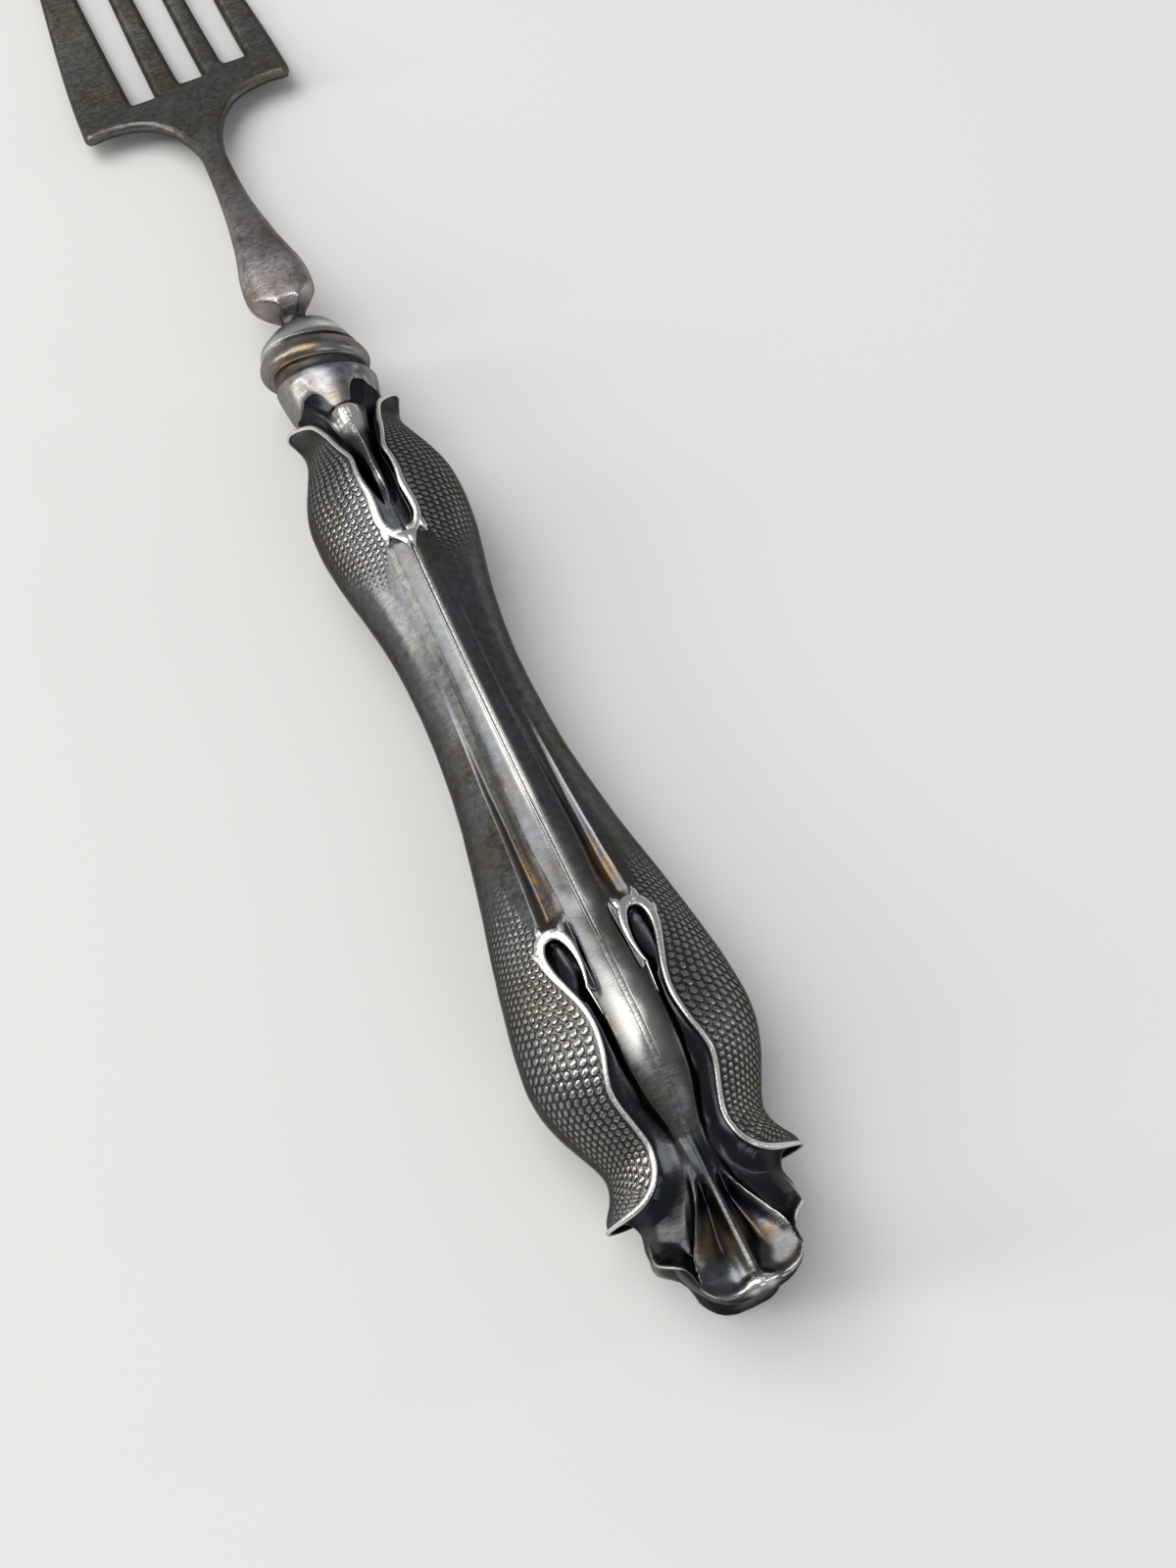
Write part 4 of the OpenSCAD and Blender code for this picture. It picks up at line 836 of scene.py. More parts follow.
def solder_line(name, side):
    """A strip along the shells' front (side +1) or back (-1) edge. Its section is carried along the edge and
    lifted along the edge's own normal: rounded over on the petals and the stem, two low beads with a groove
    between them on the waist, and one wandering crest on the bud."""
    part = quarter_surface()
    edge = np.stack([0 * part["y"][:, 0], part["y"][:, 0], part["z"][:, 0] * side], -1)
    edge = tucked(edge)
    y, z = edge[:, 1], edge[:, 2] * side
    keep = np.array([0.0, 0.2, 0.42, 0.62, 0.78, 0.88, 0.95, 0.985])
    y = np.concatenate([0.35 - MID + (y[0] - 0.35 + MID) * keep ** 3, y])
    z = np.concatenate([z[0] * keep, z])
    rows_before = len(keep)
    run = np.stack([np.gradient(y), np.gradient(z)], -1)
    run /= np.maximum(np.hypot(run[:, 0], run[:, 1]), 1e-9)[:, None]
    out_y, out_z = -run[:, 1:], run[:, :1]
    across = np.array([-0.21, -0.21, -0.18, -0.12, -0.07, -0.025, 0.025, 0.07, 0.12, 0.18, 0.21, 0.21])
    beads = np.array([-0.5, 0.0, 0.03, 0.035, 0.015, -0.035, -0.035, 0.015, 0.035, 0.03, 0.0, -0.5])
    edges = np.array([-0.5, 0, 0, 0, 0, 0, 0, 0, 0, 0, 0, -0.5])
    s = (y + MID)[:, None]
    crest = edges + 0.11 * bell(0.06 + 0.07 * np.sin(1.3 * s), 0.1, across) * (edges == 0)
    domed = (0.011 + 0.045 * ramp(12.5, 8, s) * ramp(0.8, 1.8, s)) * (1 - (across / 0.21) ** 2)
    flush = edges + domed * (edges == 0)
    on_waist = ramp(24.5, 29, s) * ramp(59.6, 59.2, s)
    on_bud = ramp(63.0, 64.6, s) * ramp(72.0, 70.4, s)
    lift = flush + on_waist * (beads - flush) + on_bud * (crest - flush)
    x = np.broadcast_to(across, lift.shape)
    points = np.stack([x, y[:, None] + out_y * lift, z[:, None] + out_z * lift], -1)
    points[..., 1] = np.maximum(points[..., 1], -MID)
    points[..., 2] = np.minimum(points[..., 2], 7.08)
    rows, columns = points.shape[:2]
    faces = strip_faces(rows, columns, closed=True)
    points = points.reshape(-1, 3)
    middle = np.stack([points[:columns].mean(0), points[-columns:].mean(0)])
    k = np.arange(columns)
    cap_low = np.stack([np.full(columns, len(points)), k, (k + 1) % columns, np.full(columns, -1)], -1)
    cap_top = np.stack([np.full(columns, len(points) + 1), (k + 1) % columns + (rows - 1) * columns,
                        k + (rows - 1) * columns, np.full(columns, -1)], -1)
    faces = np.concatenate([faces[:, ::-1], cap_low[:, [0, 2, 1, 3]], cap_top[:, [0, 2, 1, 3]]])
    points = np.concatenate([points, middle]) * [1, 1, side] + [0, 0, AXIS]
    if side < 0:
        faces = np.where(faces[:, 3:] < 0, faces[:, [0, 2, 1, 3]], faces[:, ::-1])
    piece = make_piece(name, points, faces)
    # The strip takes the shells' bright wear, painted highlights and dark tone; its inward dome at the end gets dark
    # tone and painted shade.
    painted_highlight_and_wear = np.concatenate([np.zeros(rows_before), part["painted_highlight_and_wear"][:, 0]])[:, None]
    tarnish_and_shade = np.concatenate([np.full(rows_before, 0.8), part["tarnish_and_shade"][:, 0]])[:, None]
    # A painted highlight on the bud's wandering crest.
    wear_and_highlight = painted_highlight_and_wear + 0.12 * on_waist + 0.5 * on_bud * np.clip((crest - 0.05) / 0.05, 0, 1)
    # Painted shade in the groove between the waist's two beads, and dark nicks.
    dark = tarnish_and_shade * np.ones(columns) + on_waist * 0.7 * np.where(np.abs(across) < 0.04, 1, 0)
    for at in (31.2, 33.9, 35.3, 39.4, 41.0, 42.7, 44.0, 47.3, 49.0, 50.4, 55.9):
        dark = dark + 0.9 * bell(at + 0.3 * across, 0.12, s)
    put_mask(piece, "painted_highlight_and_wear", np.concatenate([np.clip(wear_and_highlight * np.ones(columns), 0, 1).ravel(), [0, 0]]))
    put_mask(piece, "tarnish_and_shade", np.concatenate([np.clip(dark, 0, 1).ravel(), [0.8, 0]]))
    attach(piece, "root")
    return piece


front_solder = solder_line("front_solder_line", 1)
back_solder = solder_line("back_solder_line", -1)
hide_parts("front_seam")
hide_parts("back_seam")
solder_metal, add, join, shader = new_metal("bright solder", (0.4, 0.39, 0.38, 1))
place = add('ShaderNodeTexCoord').outputs['Object']
wear_and_highlight, tarnish_and_shade = (add('ShaderNodeAttribute', attribute_name=key).outputs['Fac'] for key in ("painted_highlight_and_wear", "tarnish_and_shade"))
finish = use_group(add, silver_group, Place=place, Base=(0.108, 0.113, 0.118, 1), Bright=(0.8, 0.79, 0.76, 1),
                   Dark=(0.034, 0.038, 0.046, 1), Warm=(0.1, 0.083, 0.055, 1), Wear=wear_and_highlight, Soot=tarnish_and_shade, Tone=0.6,
                   Roughness=0.27)
join(finish.outputs['Color'], shader.inputs['Base Color'])
join(finish.outputs['Roughness'], shader.inputs['Roughness'])
nicks = use_group(add, scratch_group, Place=place)
bump = add('ShaderNodeBump')
bump.inputs['Strength'].default_value = 0.6
bump.inputs['Distance'].default_value = 0.00003
join(nicks.outputs[0], bump.inputs['Height'])
join(bump.outputs[0], shader.inputs['Normal'])
for piece in (front_solder, back_solder):
    piece.data.materials.append(solder_metal)

# The cement that fills the handle.
# It is a dull brown resin cement, poured in hot round the tang, and hidden by the shells.

cement, add, join, shader = new_metal("resin cement")
shader.inputs['Metallic'].default_value = 0.0
shader.inputs['Roughness'].default_value = 0.85
grit = add('ShaderNodeTexNoise', add('ShaderNodeTexCoord').outputs['Object'])
grit.inputs['Scale'].default_value = 1500
join(blended(add, grit.outputs['Fac'], (0.2, 0.14, 0.09, 1), (0.36, 0.28, 0.2, 1)), shader.inputs['Base Color'])
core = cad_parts["cement_core"]
for slot in core.material_slots:
    slot.material = cement

# The ferrule: scalloped collar, ring and domed cap.
# Each is turned or spun from silver and soldered on the end of the shells. The cap lets the tang through.


def knocked(s, x, z):
    """Places along the axis after the small lean of the ring and the cap's edge, which have been knocked
    askew: most from the collar's shoulder to the cap's edge, and none at the collar's legs and the neck."""
    share = ramp(75.6, 77.8, s) * ramp(82.7, 81.0, s)
    return s - share * (0.2 * x + 0.13 * z)


def drift(s):
    """How far the ring, cap and neck stand to the left of the handle's axis, in millimetres."""
    return 0.26 * ramp(75.8, 78.6, s) * ramp(108, 96, s)


def turned_piece(name, profile, scallops=None, count=192):
    """A closed profile of [radius, place] points carried round the handle's axis, leant and moved as above.
    scallops moves the points in and along by amounts that depend on the angle."""
    profile = np.array(profile, float)
    turn = np.linspace(0, 2 * np.pi, count, endpoint=False)
    r = np.broadcast_to(profile[:, :1], (len(profile), count)).copy()
    s = np.broadcast_to(profile[:, 1:], (len(profile), count)).copy()
    if scallops is not None:
        r, s = scallops(r, s, turn[None, :])
    x, z = r * np.sin(turn), r * np.cos(turn)
    points = np.stack([x - drift(s), knocked(s, x, z) - MID, AXIS + z], -1)
    ringed = np.concatenate([points, points[:1]])
    faces = strip_faces(len(ringed), count, closed=True) % (len(profile) * count)
    piece = make_piece(name, points.reshape(-1, 3), flipped(faces))
    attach(piece, "root")
    return piece


def arc_points(r, s, across, along, start, end, count):
    """Points of an ellipse's arc round [r, s], from the start angle to the end angle in degrees."""
    turn = np.radians(np.linspace(start, end, count))
    return np.stack([r + across * np.cos(turn), s + along * np.sin(turn)], -1)


def collar_lobes(r, s, turn):
    """The collar's lower edge and lobes. The edge comes down in a narrow leg at the front and back and in
    broad ones at the sides, with arches between, by its place at each angle. Above each arch a soft valley
    runs up, so that the legs bulge as lobes."""
    angle = np.degrees(turn) % 180
    angle = np.minimum(angle, 180 - angle)
    edge = np.interp(angle, [0, 11, 14, 16, 19, 25, 32, 38, 46, 55, 64, 73, 84, 90],
                     [73.15, 73.2, 73.4, 73.85, 74.4, 74.95, 75.25, 75.3, 75.1, 74.65, 74.4, 74.55, 74.8, 74.85])
    share = np.clip((76.9 - s) / (76.9 - 74.0), 0, 1.35)
    moved = 76.9 - (76.9 - edge) * share
    s = np.where(s < 76.9, moved, s)
    valley = bell(36, 6, angle) + 0.8 * bell(90, 7, angle)
    low = ramp(77.3, 75.6, s)
    narrow = np.interp(s, [73.1, 73.6, 74.2, 74.8, 75.6, 76.9], [0.34, 0.3, 0.22, 0.14, 0.04, 0])
    outside = np.clip((r - 3.38) / 0.2, 0, 1)
    return r - outside * (0.13 * valley * low + narrow * np.where(r > 3.4, 1, 0)), s


collar_profile = np.concatenate([
    [(3.3, 78.6), (3.3, 74.1), (3.34, 74.02), (3.42, 73.98), (3.56, 74.0), (3.66, 74.08), (3.7, 74.2)],
    np.stack([np.interp(np.linspace(74.4, 77.2, 22), [74.4, 75.0, 75.6, 76.2, 76.7, 77.2],
                        [3.74, 3.81, 3.87, 3.91, 3.92, 3.88]), np.linspace(74.4, 77.2, 22)], -1),
    [(3.86, 77.3), (3.81, 77.38), (3.72, 77.5), (3.62, 77.7), (3.54, 77.95), (3.5, 78.2), (3.49, 78.45),
     (3.49, 78.6)]])
collar = turned_piece("silver_collar", collar_profile, collar_lobes, 288)
ring_profile = np.concatenate([
    [(3.35, 78.45), (3.5, 78.45), (3.72, 78.42), (3.95, 78.44)], arc_points(3.5, 79.2, 0.78, 0.86, -62, 12, 20),
    [(4.22, 79.55), (4.12, 79.85), (3.97, 80.12), (3.8, 80.33), (3.62, 80.46), (3.5, 80.5), (3.35, 80.5)]])
ring = turned_piece("silver_ring", ring_profile)
dome_line = smooth_path([
    (1.0, 82.96, 0), (1.2, 82.97, 0), (1.5, 82.92, 0), (1.9, 82.8, 0), (2.35, 82.58, 0), (2.75, 82.28, 0),
    (3.1, 81.92, 0), (3.38, 81.55, 0), (3.58, 81.2, 0), (3.7, 80.92, 0), (3.76, 80.76, 0)], 3)[:, :2]
cap_profile = np.concatenate([
    dome_line, [(3.8, 80.7), (3.81, 80.65), (3.77, 80.61), (3.62, 80.58), (3.5, 80.52), (3.42, 80.42), (3.4, 80.3),
                (3.2, 80.3), (2.9, 81.2), (2.3, 82.0), (1.7, 82.5), (1.05, 82.75)]])
cap = turned_piece("silver_cap", cap_profile[::-1])
for piece, node in ((collar, "collar"), (ring, "ring"), (cap, "cap")):
    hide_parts(node)
ferrule_silver, add, join, shader = new_metal("polished ferrule silver", (0.6, 0.6, 0.6, 1))
place = add('ShaderNodeTexCoord').outputs['Object']
along = add('ShaderNodeSeparateXYZ', place).outputs[1]
# Brown tone gathers under the ring's edge and round the collar's legs
under_ring = add('ShaderNodeMapRange', along, 0.0066, 0.0078, 1.0, 0.0).outputs[0]
above_cove = add('ShaderNodeMapRange', along, 0.0052, 0.006, 0.0, 1.0).outputs[0]
on_legs = add('ShaderNodeMapRange', along, 0.0014, 0.0034, 0.8, 0.0).outputs[0]
brown = maths(add, 'ADD', maths(add, 'MULTIPLY', under_ring, above_cove), on_legs)
blotches = add('ShaderNodeTexNoise', place)
blotches.inputs['Scale'].default_value = 520
blotches.inputs['Detail'].default_value = 3
patches = add('ShaderNodeMapRange', blotches.outputs['Fac'], 0.38, 0.6, 0.25, 1.0).outputs[0]
brown = maths(add, 'MULTIPLY', brown, patches)
# The cap has a painted highlight round its edge and is darker towards the neck
painted_edge_highlight = maths(add, 'MULTIPLY', add('ShaderNodeMapRange', along, 0.0079, 0.0083, 0.0, 0.8).outputs[0],
                add('ShaderNodeMapRange', along, 0.0085, 0.0096, 1.0, 0.0).outputs[0])
on_collar = add('ShaderNodeMapRange', along, 0.005, 0.0057, 0.14, 0.0).outputs[0]
on_top = add('ShaderNodeMapRange', along, 0.0089, 0.0102, 0.05, 0.5).outputs[0]
finish = use_group(add, silver_group, Place=place, Base=(0.27, 0.275, 0.285, 1), Warm=(0.2, 0.175, 0.14, 1),
                   Dark=(0.1, 0.1, 0.105, 1), Wear=maths(add, 'ADD', painted_edge_highlight, on_collar), Soot=on_top, Tone=0.4,
                   Roughness=0.32)
toned = blended(add, maths(add, 'MULTIPLY', brown, 0.8), finish.outputs['Color'], (0.2, 0.13, 0.07, 1))
join(toned, shader.inputs['Base Color'])
join(finish.outputs['Roughness'], shader.inputs['Roughness'])
hairs = use_group(add, scratch_group, Place=place)
bump = add('ShaderNodeBump', invert=True)
bump.inputs['Strength'].default_value = 0.4
bump.inputs['Distance'].default_value = 0.00003
join(hairs.outputs[0], bump.inputs['Height'])
join(bump.outputs[0], shader.inputs['Normal'])
for piece in (collar, ring, cap):
    piece.data.materials.append(ferrule_silver)

# The fork head: neck with its faceted swelling, shoulders and four tines. Its tang inside the handle is not built.
# It is forged and ground in one piece, plated and toned brown grey, with ground bevels on its edges.

NECK_AT, NECK_LEN, SHOULDER_AT, SLOTS_AT, TIPS_AT = 83.3, 28.0, 111.3, 113.7, 144.7
REST_FROM, REST_TO, HEAD_T, TIP_T, TIP_RISE = 123.0, 129.0, 1.7, 1.0, 3.6


def spine(s):
    """Height of the head's middle above the surface that the fork lies on, up to the flat of the tines."""
    return AXIS - (AXIS - HEAD_T / 2) * ramp(NECK_AT, REST_FROM, s)


def head_thickness(s):
    """Thickness of the head, which thins out along the tines."""
    return HEAD_T - (HEAD_T - TIP_T) * ramp(SLOTS_AT, TIPS_AT, s)


def underside(s):
    """Height of the head's underside: below the spine, flat at the rest and rising to the tips."""
    rise = np.clip((s - REST_TO) / (TIPS_AT - REST_TO), 0, None) ** 1.8 * TIP_RISE
    return np.where(s < REST_FROM, spine(s) - HEAD_T / 2, rise)


def outer_edge(s):
    """Half the width of the head from the shoulders to the tips."""
    p = np.clip((s - SHOULDER_AT) / (TIPS_AT - SHOULDER_AT), 0, 1) ** 0.95
    return 9.45 - (9.45 - 6.9) * (1 - np.cos(np.pi * p)) / 2


def head_outline():
    """The head's plan as one closed line: left shoulder, four tines with the three slots between them, and
    right shoulder. A tine's edges run straight from its foot to its tip and close in a pointed arch."""
    slot_mid = np.array([-3.4, 1.25, 5.5])
    slot_foot = SLOTS_AT + np.array([0.0, 0.6, 1.2])
    tip_mid = np.array([-0.44, -0.125, 0.165, 0.455]) * 13.8
    lines = []
    for i in range(4):
        s = np.concatenate([np.linspace(0, 26.04, 15), 31 - 4.96 * (1 - np.sin(np.radians(np.arange(6, 91, 6))))])
        s = s + SLOTS_AT
        t = (s - SLOTS_AT) / 31.0
        left = -outer_edge(s) if i == 0 else slot_mid[i - 1] + 1.1 + (
            tip_mid[i] - 0.62 - slot_mid[i - 1] - 1.1) * t
        right = outer_edge(s) if i == 3 else slot_mid[i] - 1.1 + (tip_mid[i] + 0.62 - slot_mid[i] + 1.1) * t
        half = (right - left) / 2 * np.sqrt(np.maximum(0.02, 1 - np.clip((s - TIPS_AT + 4.96) / 4.96, 0, 1) ** 2))
        mid = (left + right) / 2
        start = s > (slot_foot[i - 1] + 0.5 if i > 0 else SLOTS_AT)
        stop = s > (slot_foot[i] + 0.5 if i < 3 else SLOTS_AT)
        lines.append(np.stack([(mid - half)[start], s[start]], -1))
        lines.append(np.stack([(mid + half)[stop], s[stop]], -1)[::-1])
        if i < 3:
            foot = slot_foot[i]
            corner = 0.35
            turn = np.radians(np.linspace(0, 90, 5))
            right_side = np.stack([slot_mid[i] - 1.1 + corner * (1 - np.cos(turn)),
                                   foot + corner * (1 - np.sin(turn))], -1)
            lines.append(right_side)
            lines.append(np.stack([2 * slot_mid[i] - right_side[::-1, 0], right_side[::-1, 1]], -1))
    shoulder_right = np.array([(9.45, 112.4), (9.42, 111.7), (9.2, 111.25), (8.7, 111.2), (7.6, 111.32), (6.5, 111.25),
                               (5.4, 111.05), (4.5, 110.7), (3.7, 110.2), (3.0, 109.5), (2.4, 108.7), (1.9, 107.7),
                               (1.5, 106.6), (1.2, 105.4), (1.0, 104.2), (0.85, 103.0)])
    shoulder_left = shoulder_right[::-1] * [-1, 1]
    return np.concatenate([shoulder_left, *lines, shoulder_right])


def fork_plate():
    """The flat head: its plan as a filled curve with a rounded edge, cut across by many planes, then bent so
    that its underside follows underside(s) and its thickness head_thickness(s)."""
    curve = bpy.data.curves.new("head plan", 'CURVE')
    curve.dimensions = '2D'
    curve.fill_mode = 'BOTH'
    curve.extrude = 0.23
    curve.bevel_depth = 0.55
    curve.bevel_resolution = 4
    curve.offset = -0.55
    plan = head_outline()
    line = curve.splines.new('POLY')
    line.points.add(len(plan) - 1)
    line.points.foreach_set("co", np.concatenate([plan, np.zeros((len(plan), 1)), np.ones((len(plan), 1))],
                                                 1).astype(np.float32).ravel())
    line.use_cyclic_u = True
    draft = bpy.data.objects.new("head plan", curve)
    bpy.context.scene.collection.objects.link(draft)
    mesh = bpy.data.meshes.new_from_object(draft.evaluated_get(bpy.context.evaluated_depsgraph_get()))
    bpy.data.objects.remove(draft)
    work = bmesh.new()
    work.from_mesh(mesh)
    bmesh.ops.remove_doubles(work, verts=work.verts, dist=0.002)
    flat = [e for e in work.edges if len(e.link_faces) == 2 and all(abs(f.normal.z) > 0.999 for f in e.link_faces)]
    bmesh.ops.dissolve_edges(work, edges=flat, use_verts=False)
    for cut in np.arange(103.4, 144.6, 0.4):
        bmesh.ops.bisect_plane(work, geom=work.verts[:] + work.edges[:] + work.faces[:], dist=0.0005,
                               plane_co=(0, cut, 0), plane_no=(0, 1, 0))
    bmesh.ops.recalc_face_normals(work, faces=work.faces)
    bmesh.ops.triangulate(work, faces=[f for f in work.faces if len(f.verts) > 4])
    work.to_mesh(mesh)
    work.free()
    points = np.empty(len(mesh.vertices) * 3, np.float32)
    mesh.vertices.foreach_get("co", points)
    points = points.reshape(-1, 3).astype(float)
    share = points[:, 2] / 1.56 + 0.5
    s = points[:, 1]
    points[:, 2] = underside(s) + head_thickness(s) * np.clip(share, 0, 1)
    # The shoulders' edge slants in below, away from the handle
    points[:, 1] = s - MID + 0.8 * np.clip(0.6 - share, 0, 1) * ramp(113.2, 111.4, s) * ramp(103.2, 106, s)
    points[:, 0] -= drift(s)
    mesh.vertices.foreach_set("co", (points / 1000).astype(np.float32).ravel())
    # A painted highlight along the shoulders' rounded top edge, kept in the bright wear mask.
    worn = ramp(0.55, 0.72, share) * ramp(1.0, 0.95, share) * ramp(113.4, 111.8, s) * ramp(104, 108, s)
    mesh.attributes.new("painted_highlight_and_wear", 'FLOAT', 'POINT').data.foreach_set("value", worn.astype(np.float32))
    mesh.update()
    return mesh


def neck_mesh():
    """The neck and its swelling. A section is a squarish ellipse with |x/w|^p + |z/t|^p = 1, carried along the
    spine. Front and back, a slanting plane cuts the swelling's foot off flat, which leaves a crisp crease."""
    s = np.concatenate([np.linspace(82.4, 83.6, 10), np.linspace(83.65, 86.6, 60), np.linspace(86.75, 90, 24),
                        np.linspace(90.3, 108.5, 70)])
    k = (s - NECK_AT) / NECK_LEN
    w = np.interp(s, [82.4, 83.4, 83.9, 84.3, 84.7, 85.0, 85.3, 85.6, 85.85, 86.1, 86.5, 87.1, 87.9, 88.7, 89.5, 90.5,
                      92.2, 93.8, 95.2, 97.5, 100, 103, 108.5],
                  [1.02, 1.02, 1.05, 1.13, 1.33, 1.6, 1.92, 2.25, 2.5, 2.64, 2.74, 2.81, 2.82, 2.74, 2.6, 2.35, 1.98,
                   1.74, 1.54, 1.28, 1.12, 1.05, 1.05])
    t = np.interp(s, [82.4, 83.4, 83.9, 84.3, 84.7, 85.0, 85.4, 86.0, 87.0, 88.0, 89.5, 92.2, 95.2, 97.5, 100, 103,
                      106, 108.5],
                  [0.98, 1.0, 1.15, 1.5, 1.82, 1.95, 2.0, 2.03, 2.07, 2.08, 2.0, 1.65, 1.3, 1.12, 1.0, 0.95, 0.75, 0.7])
    # Its foot has been filed in on the left
    filed = 0.18 * bell(84.8, 0.6, s)
    w = w - filed
    soft = np.hanning(7) / np.hanning(7).sum()
    w = np.convolve(np.pad(w, 3, mode='edge'), soft, 'valid')[:, None]
    t = np.convolve(np.pad(t, 3, mode='edge'), soft, 'valid')[:, None]
    power = 2.2 + (1.0 * ramp(0.03, 0.12, k) + 1.7 * bell(85.2, 0.9, s))[:, None]
    turn = np.linspace(0, 2 * np.pi, 96, endpoint=False)[None, :]
    sine, cosine = np.sin(turn), np.cos(turn)
    x = filed[:, None] + w * np.sign(sine) * np.abs(sine) ** (2 / power)
    z = t * np.sign(cosine) * np.abs(cosine) ** (2 / power)
    x = x * (1 - 0.3 * ramp(0.2, -1.4, z) * bell(85.3, 1.0, s)[:, None])
    # The cutting plane of the small facet, hollowed so that it stays narrow
    plane = 1.94 - 0.56 * (85.2 - s)[:, None] + 0.05 * (x + 0.1) ** 2
    plane = np.where(s[:, None] < 85.25, plane, 9.0)
    # A painted highlight along the facet's crease, kept in the bright wear mask.
    worn = bell(0.01, 0.04, np.abs(z) - plane) * ramp(1.3, 0.9, np.abs(x)) * ramp(84.75, 84.95, s)[:, None] * (z > 0)
    z = np.sign(z) * np.minimum(np.abs(z), np.maximum(plane, 0.8))
    z = z + spine(s)[:, None]
    points = np.stack([x - drift(s)[:, None], np.broadcast_to(s[:, None] - MID, x.shape), z], -1)
    rows, columns = x.shape
    faces = flipped(strip_faces(rows, columns, closed=True))
    ends = np.stack([points[0].mean(0), points[-1].mean(0)])
    j = np.arange(columns)
    first = rows * columns
    low = np.stack([np.full(columns, first), (j + 1) % columns, j, np.full(columns, -1)], -1)
    top = np.stack([np.full(columns, first + 1), (rows - 1) * columns + j, (rows - 1) * columns + (j + 1) % columns,
                    np.full(columns, -1)], -1)
    return np.concatenate([points.reshape(-1, 3), ends]), np.concatenate([faces, low, top]), np.append(worn, [0, 0])


plate = bpy.data.objects.new("fork_plate", fork_plate())
bpy.context.scene.collection.objects.link(plate)
for face in plate.data.polygons:
    face.use_smooth = True
neck_points, neck_faces, neck_worn = neck_mesh()
neck = make_piece("fork_neck", neck_points, neck_faces)
put_mask(neck, "painted_highlight_and_wear", neck_worn)
for piece in (plate, neck):
    weighted = piece.modifiers.new("even shading", 'WEIGHTED_NORMAL')
    weighted.keep_sharp = True
    weighted.weight = 60
    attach(piece, "root")
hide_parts("fork_head")
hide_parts("fork_head")
head_metal, add, join, shader = new_metal("toned head plate", (0.45, 0.43, 0.42, 1))
place = add('ShaderNodeTexCoord').outputs['Object']
along = add('ShaderNodeSeparateXYZ', place).outputs[1]
# The neck's lighter colour is partly a painted reflection of the sky on its front; the colour darkens towards the toned
# tines.
to_tines = add('ShaderNodeMapRange', along, 0.016, 0.036, 0.0, 1.0).outputs[0]
base = blended(add, to_tines, (0.42, 0.38, 0.378, 1), (0.132, 0.134, 0.122, 1))
worn = add('ShaderNodeAttribute', attribute_name="painted_highlight_and_wear").outputs['Fac']
# The bright input carries the painted highlights on the crease and shoulders; the neck is darker towards its foot by
# the cap.
finish = use_group(add, silver_group, Place=place, Base=base, Warm=(0.15, 0.112, 0.075, 1),
                   Dark=(0.07, 0.066, 0.064, 1), Wear=maths(add, 'MULTIPLY', worn, 0.9),
                   Soot=add('ShaderNodeMapRange', along, 0.0116, 0.0131, 1.0, 0.12).outputs[0], Tone=0.6,
                   Roughness=0.36)
join(finish.outputs['Color'], shader.inputs['Base Color'])
join(finish.outputs['Roughness'], shader.inputs['Roughness'])
grind = use_group(add, scratch_group, Place=place)
bump = add('ShaderNodeBump')
bump.inputs['Strength'].default_value = 0.6
bump.inputs['Distance'].default_value = 0.00003
join(grind.outputs[0], bump.inputs['Height'])
join(bump.outputs[0], shader.inputs['Normal'])
for piece in (plate, neck):
    piece.data.materials.append(head_metal)

# The stage: a pale table top, four soft lamps and the camera at the photograph's angle.
# Only the camera sees the pale wall, and the cool sky lights the object.

floor_mesh = bpy.data.meshes.new("table top")
reach = 1.5
floor_mesh.from_pydata([(-reach, -reach, 0), (reach, -reach, 0), (reach, reach, 0), (-reach, reach, 0)], [],
                       [(0, 1, 2, 3)])
table_top = bpy.data.objects.new("table_top", floor_mesh)
bpy.context.scene.collection.objects.link(table_top)
table_paint, add, join, shader = new_metal("pale table top")
shader.inputs['Metallic'].default_value = 0.0
shader.inputs['Base Color'].default_value = (0.72, 0.71, 0.69, 1)
shader.inputs['Roughness'].default_value = 0.8
table_top.data.materials.append(table_paint)

world = bpy.data.worlds.new("studio")
bpy.context.scene.world = world
world.use_nodes = True
soft_sky = world.node_tree.nodes["Background"]
soft_sky.inputs['Color'].default_value = (0.75, 0.78, 0.82, 1)
soft_sky.inputs['Strength'].default_value = 0.36
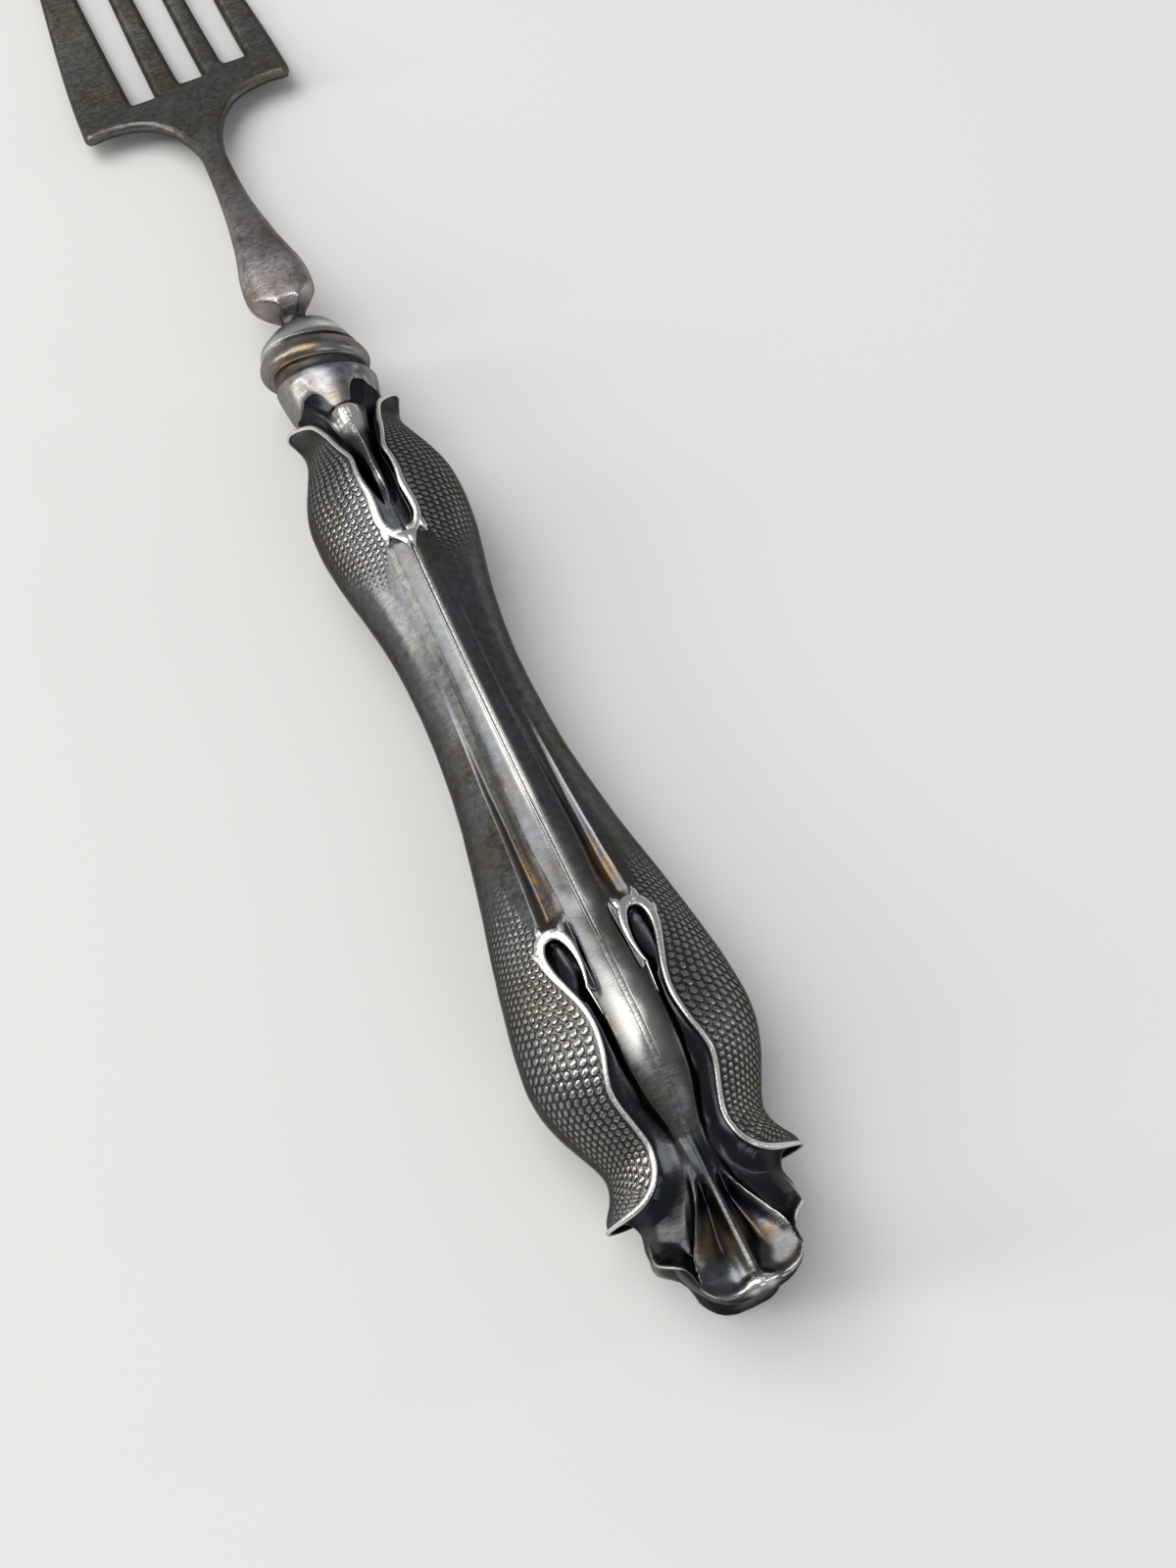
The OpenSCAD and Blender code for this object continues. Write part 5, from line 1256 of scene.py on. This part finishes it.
# The camera itself sees a pale wall instead of the sky
add, join = node_tools(world.node_tree)
pale_wall = add('ShaderNodeBackground', (0.7, 0.7, 0.69, 1), 1.0)
seen = add('ShaderNodeMixShader', add('ShaderNodeLightPath').outputs['Is Camera Ray'], soft_sky.outputs[0],
           pale_wall.outputs[0])
join(seen.outputs[0], world.node_tree.nodes["World Output"].inputs['Surface'])


def soft_lamp(name, place, aim, size, power, colour=(1, 1, 1)):
    """A flat soft lamp at a place, turned towards its aim."""
    lamp = bpy.data.lights.new(name, 'AREA')
    lamp.shape = 'RECTANGLE'
    lamp.size, lamp.size_y = size
    lamp.energy = power
    lamp.color = colour
    holder = bpy.data.objects.new(name, lamp)
    holder.location = place
    ray = Matrix(((1, 0, 0), (0, 1, 0), (0, 0, 1))) @ (holder.location - type(holder.location)(aim))
    holder.rotation_euler = ray.to_track_quat('Z', 'Y').to_euler()
    bpy.context.scene.collection.objects.link(holder)


soft_lamp("window lamp", (-0.32, 0.2, 0.95), (0, -0.02, 0), (0.85, 0.85), 8.6)
soft_lamp("left lamp", (-0.9, 0.2, 0.42), (0, -0.02, 0), (0.22, 0.6), 3.2, (1, 0.94, 0.86))
soft_lamp("right lamp", (0.9, -0.2, 0.33), (0, -0.02, 0), (0.1, 0.6), 0.7)
soft_lamp("near lamp", (0.2, -0.8, 0.62), (0, -0.05, 0), (0.4, 0.3), 1.2, (0.86, 0.93, 1))

turn, tilt = np.radians(24.4), np.radians(69.3)
look = np.array([np.cos(tilt) * np.sin(turn), np.cos(tilt) * np.cos(turn), -np.sin(tilt)])
right = np.array([np.cos(turn), -np.sin(turn), 0])
up = np.cross(right, look)
lens = bpy.data.cameras.new("camera")
lens.sensor_fit = 'VERTICAL'
lens.sensor_height = 36
lens.lens = 45
lens.clip_start, lens.clip_end = 0.01, 10
camera = bpy.data.objects.new("camera", lens)
placing = np.eye(4)
placing[:3, :3] = np.stack([right, up, -look], 1)
placing[:3, 3] = (-0.016056, -0.080346, 0.14105)
camera.matrix_world = Matrix(placing.tolist())
bpy.context.scene.collection.objects.link(camera)
bpy.context.scene.camera = camera
bpy.context.scene.view_settings.view_transform = 'Standard'
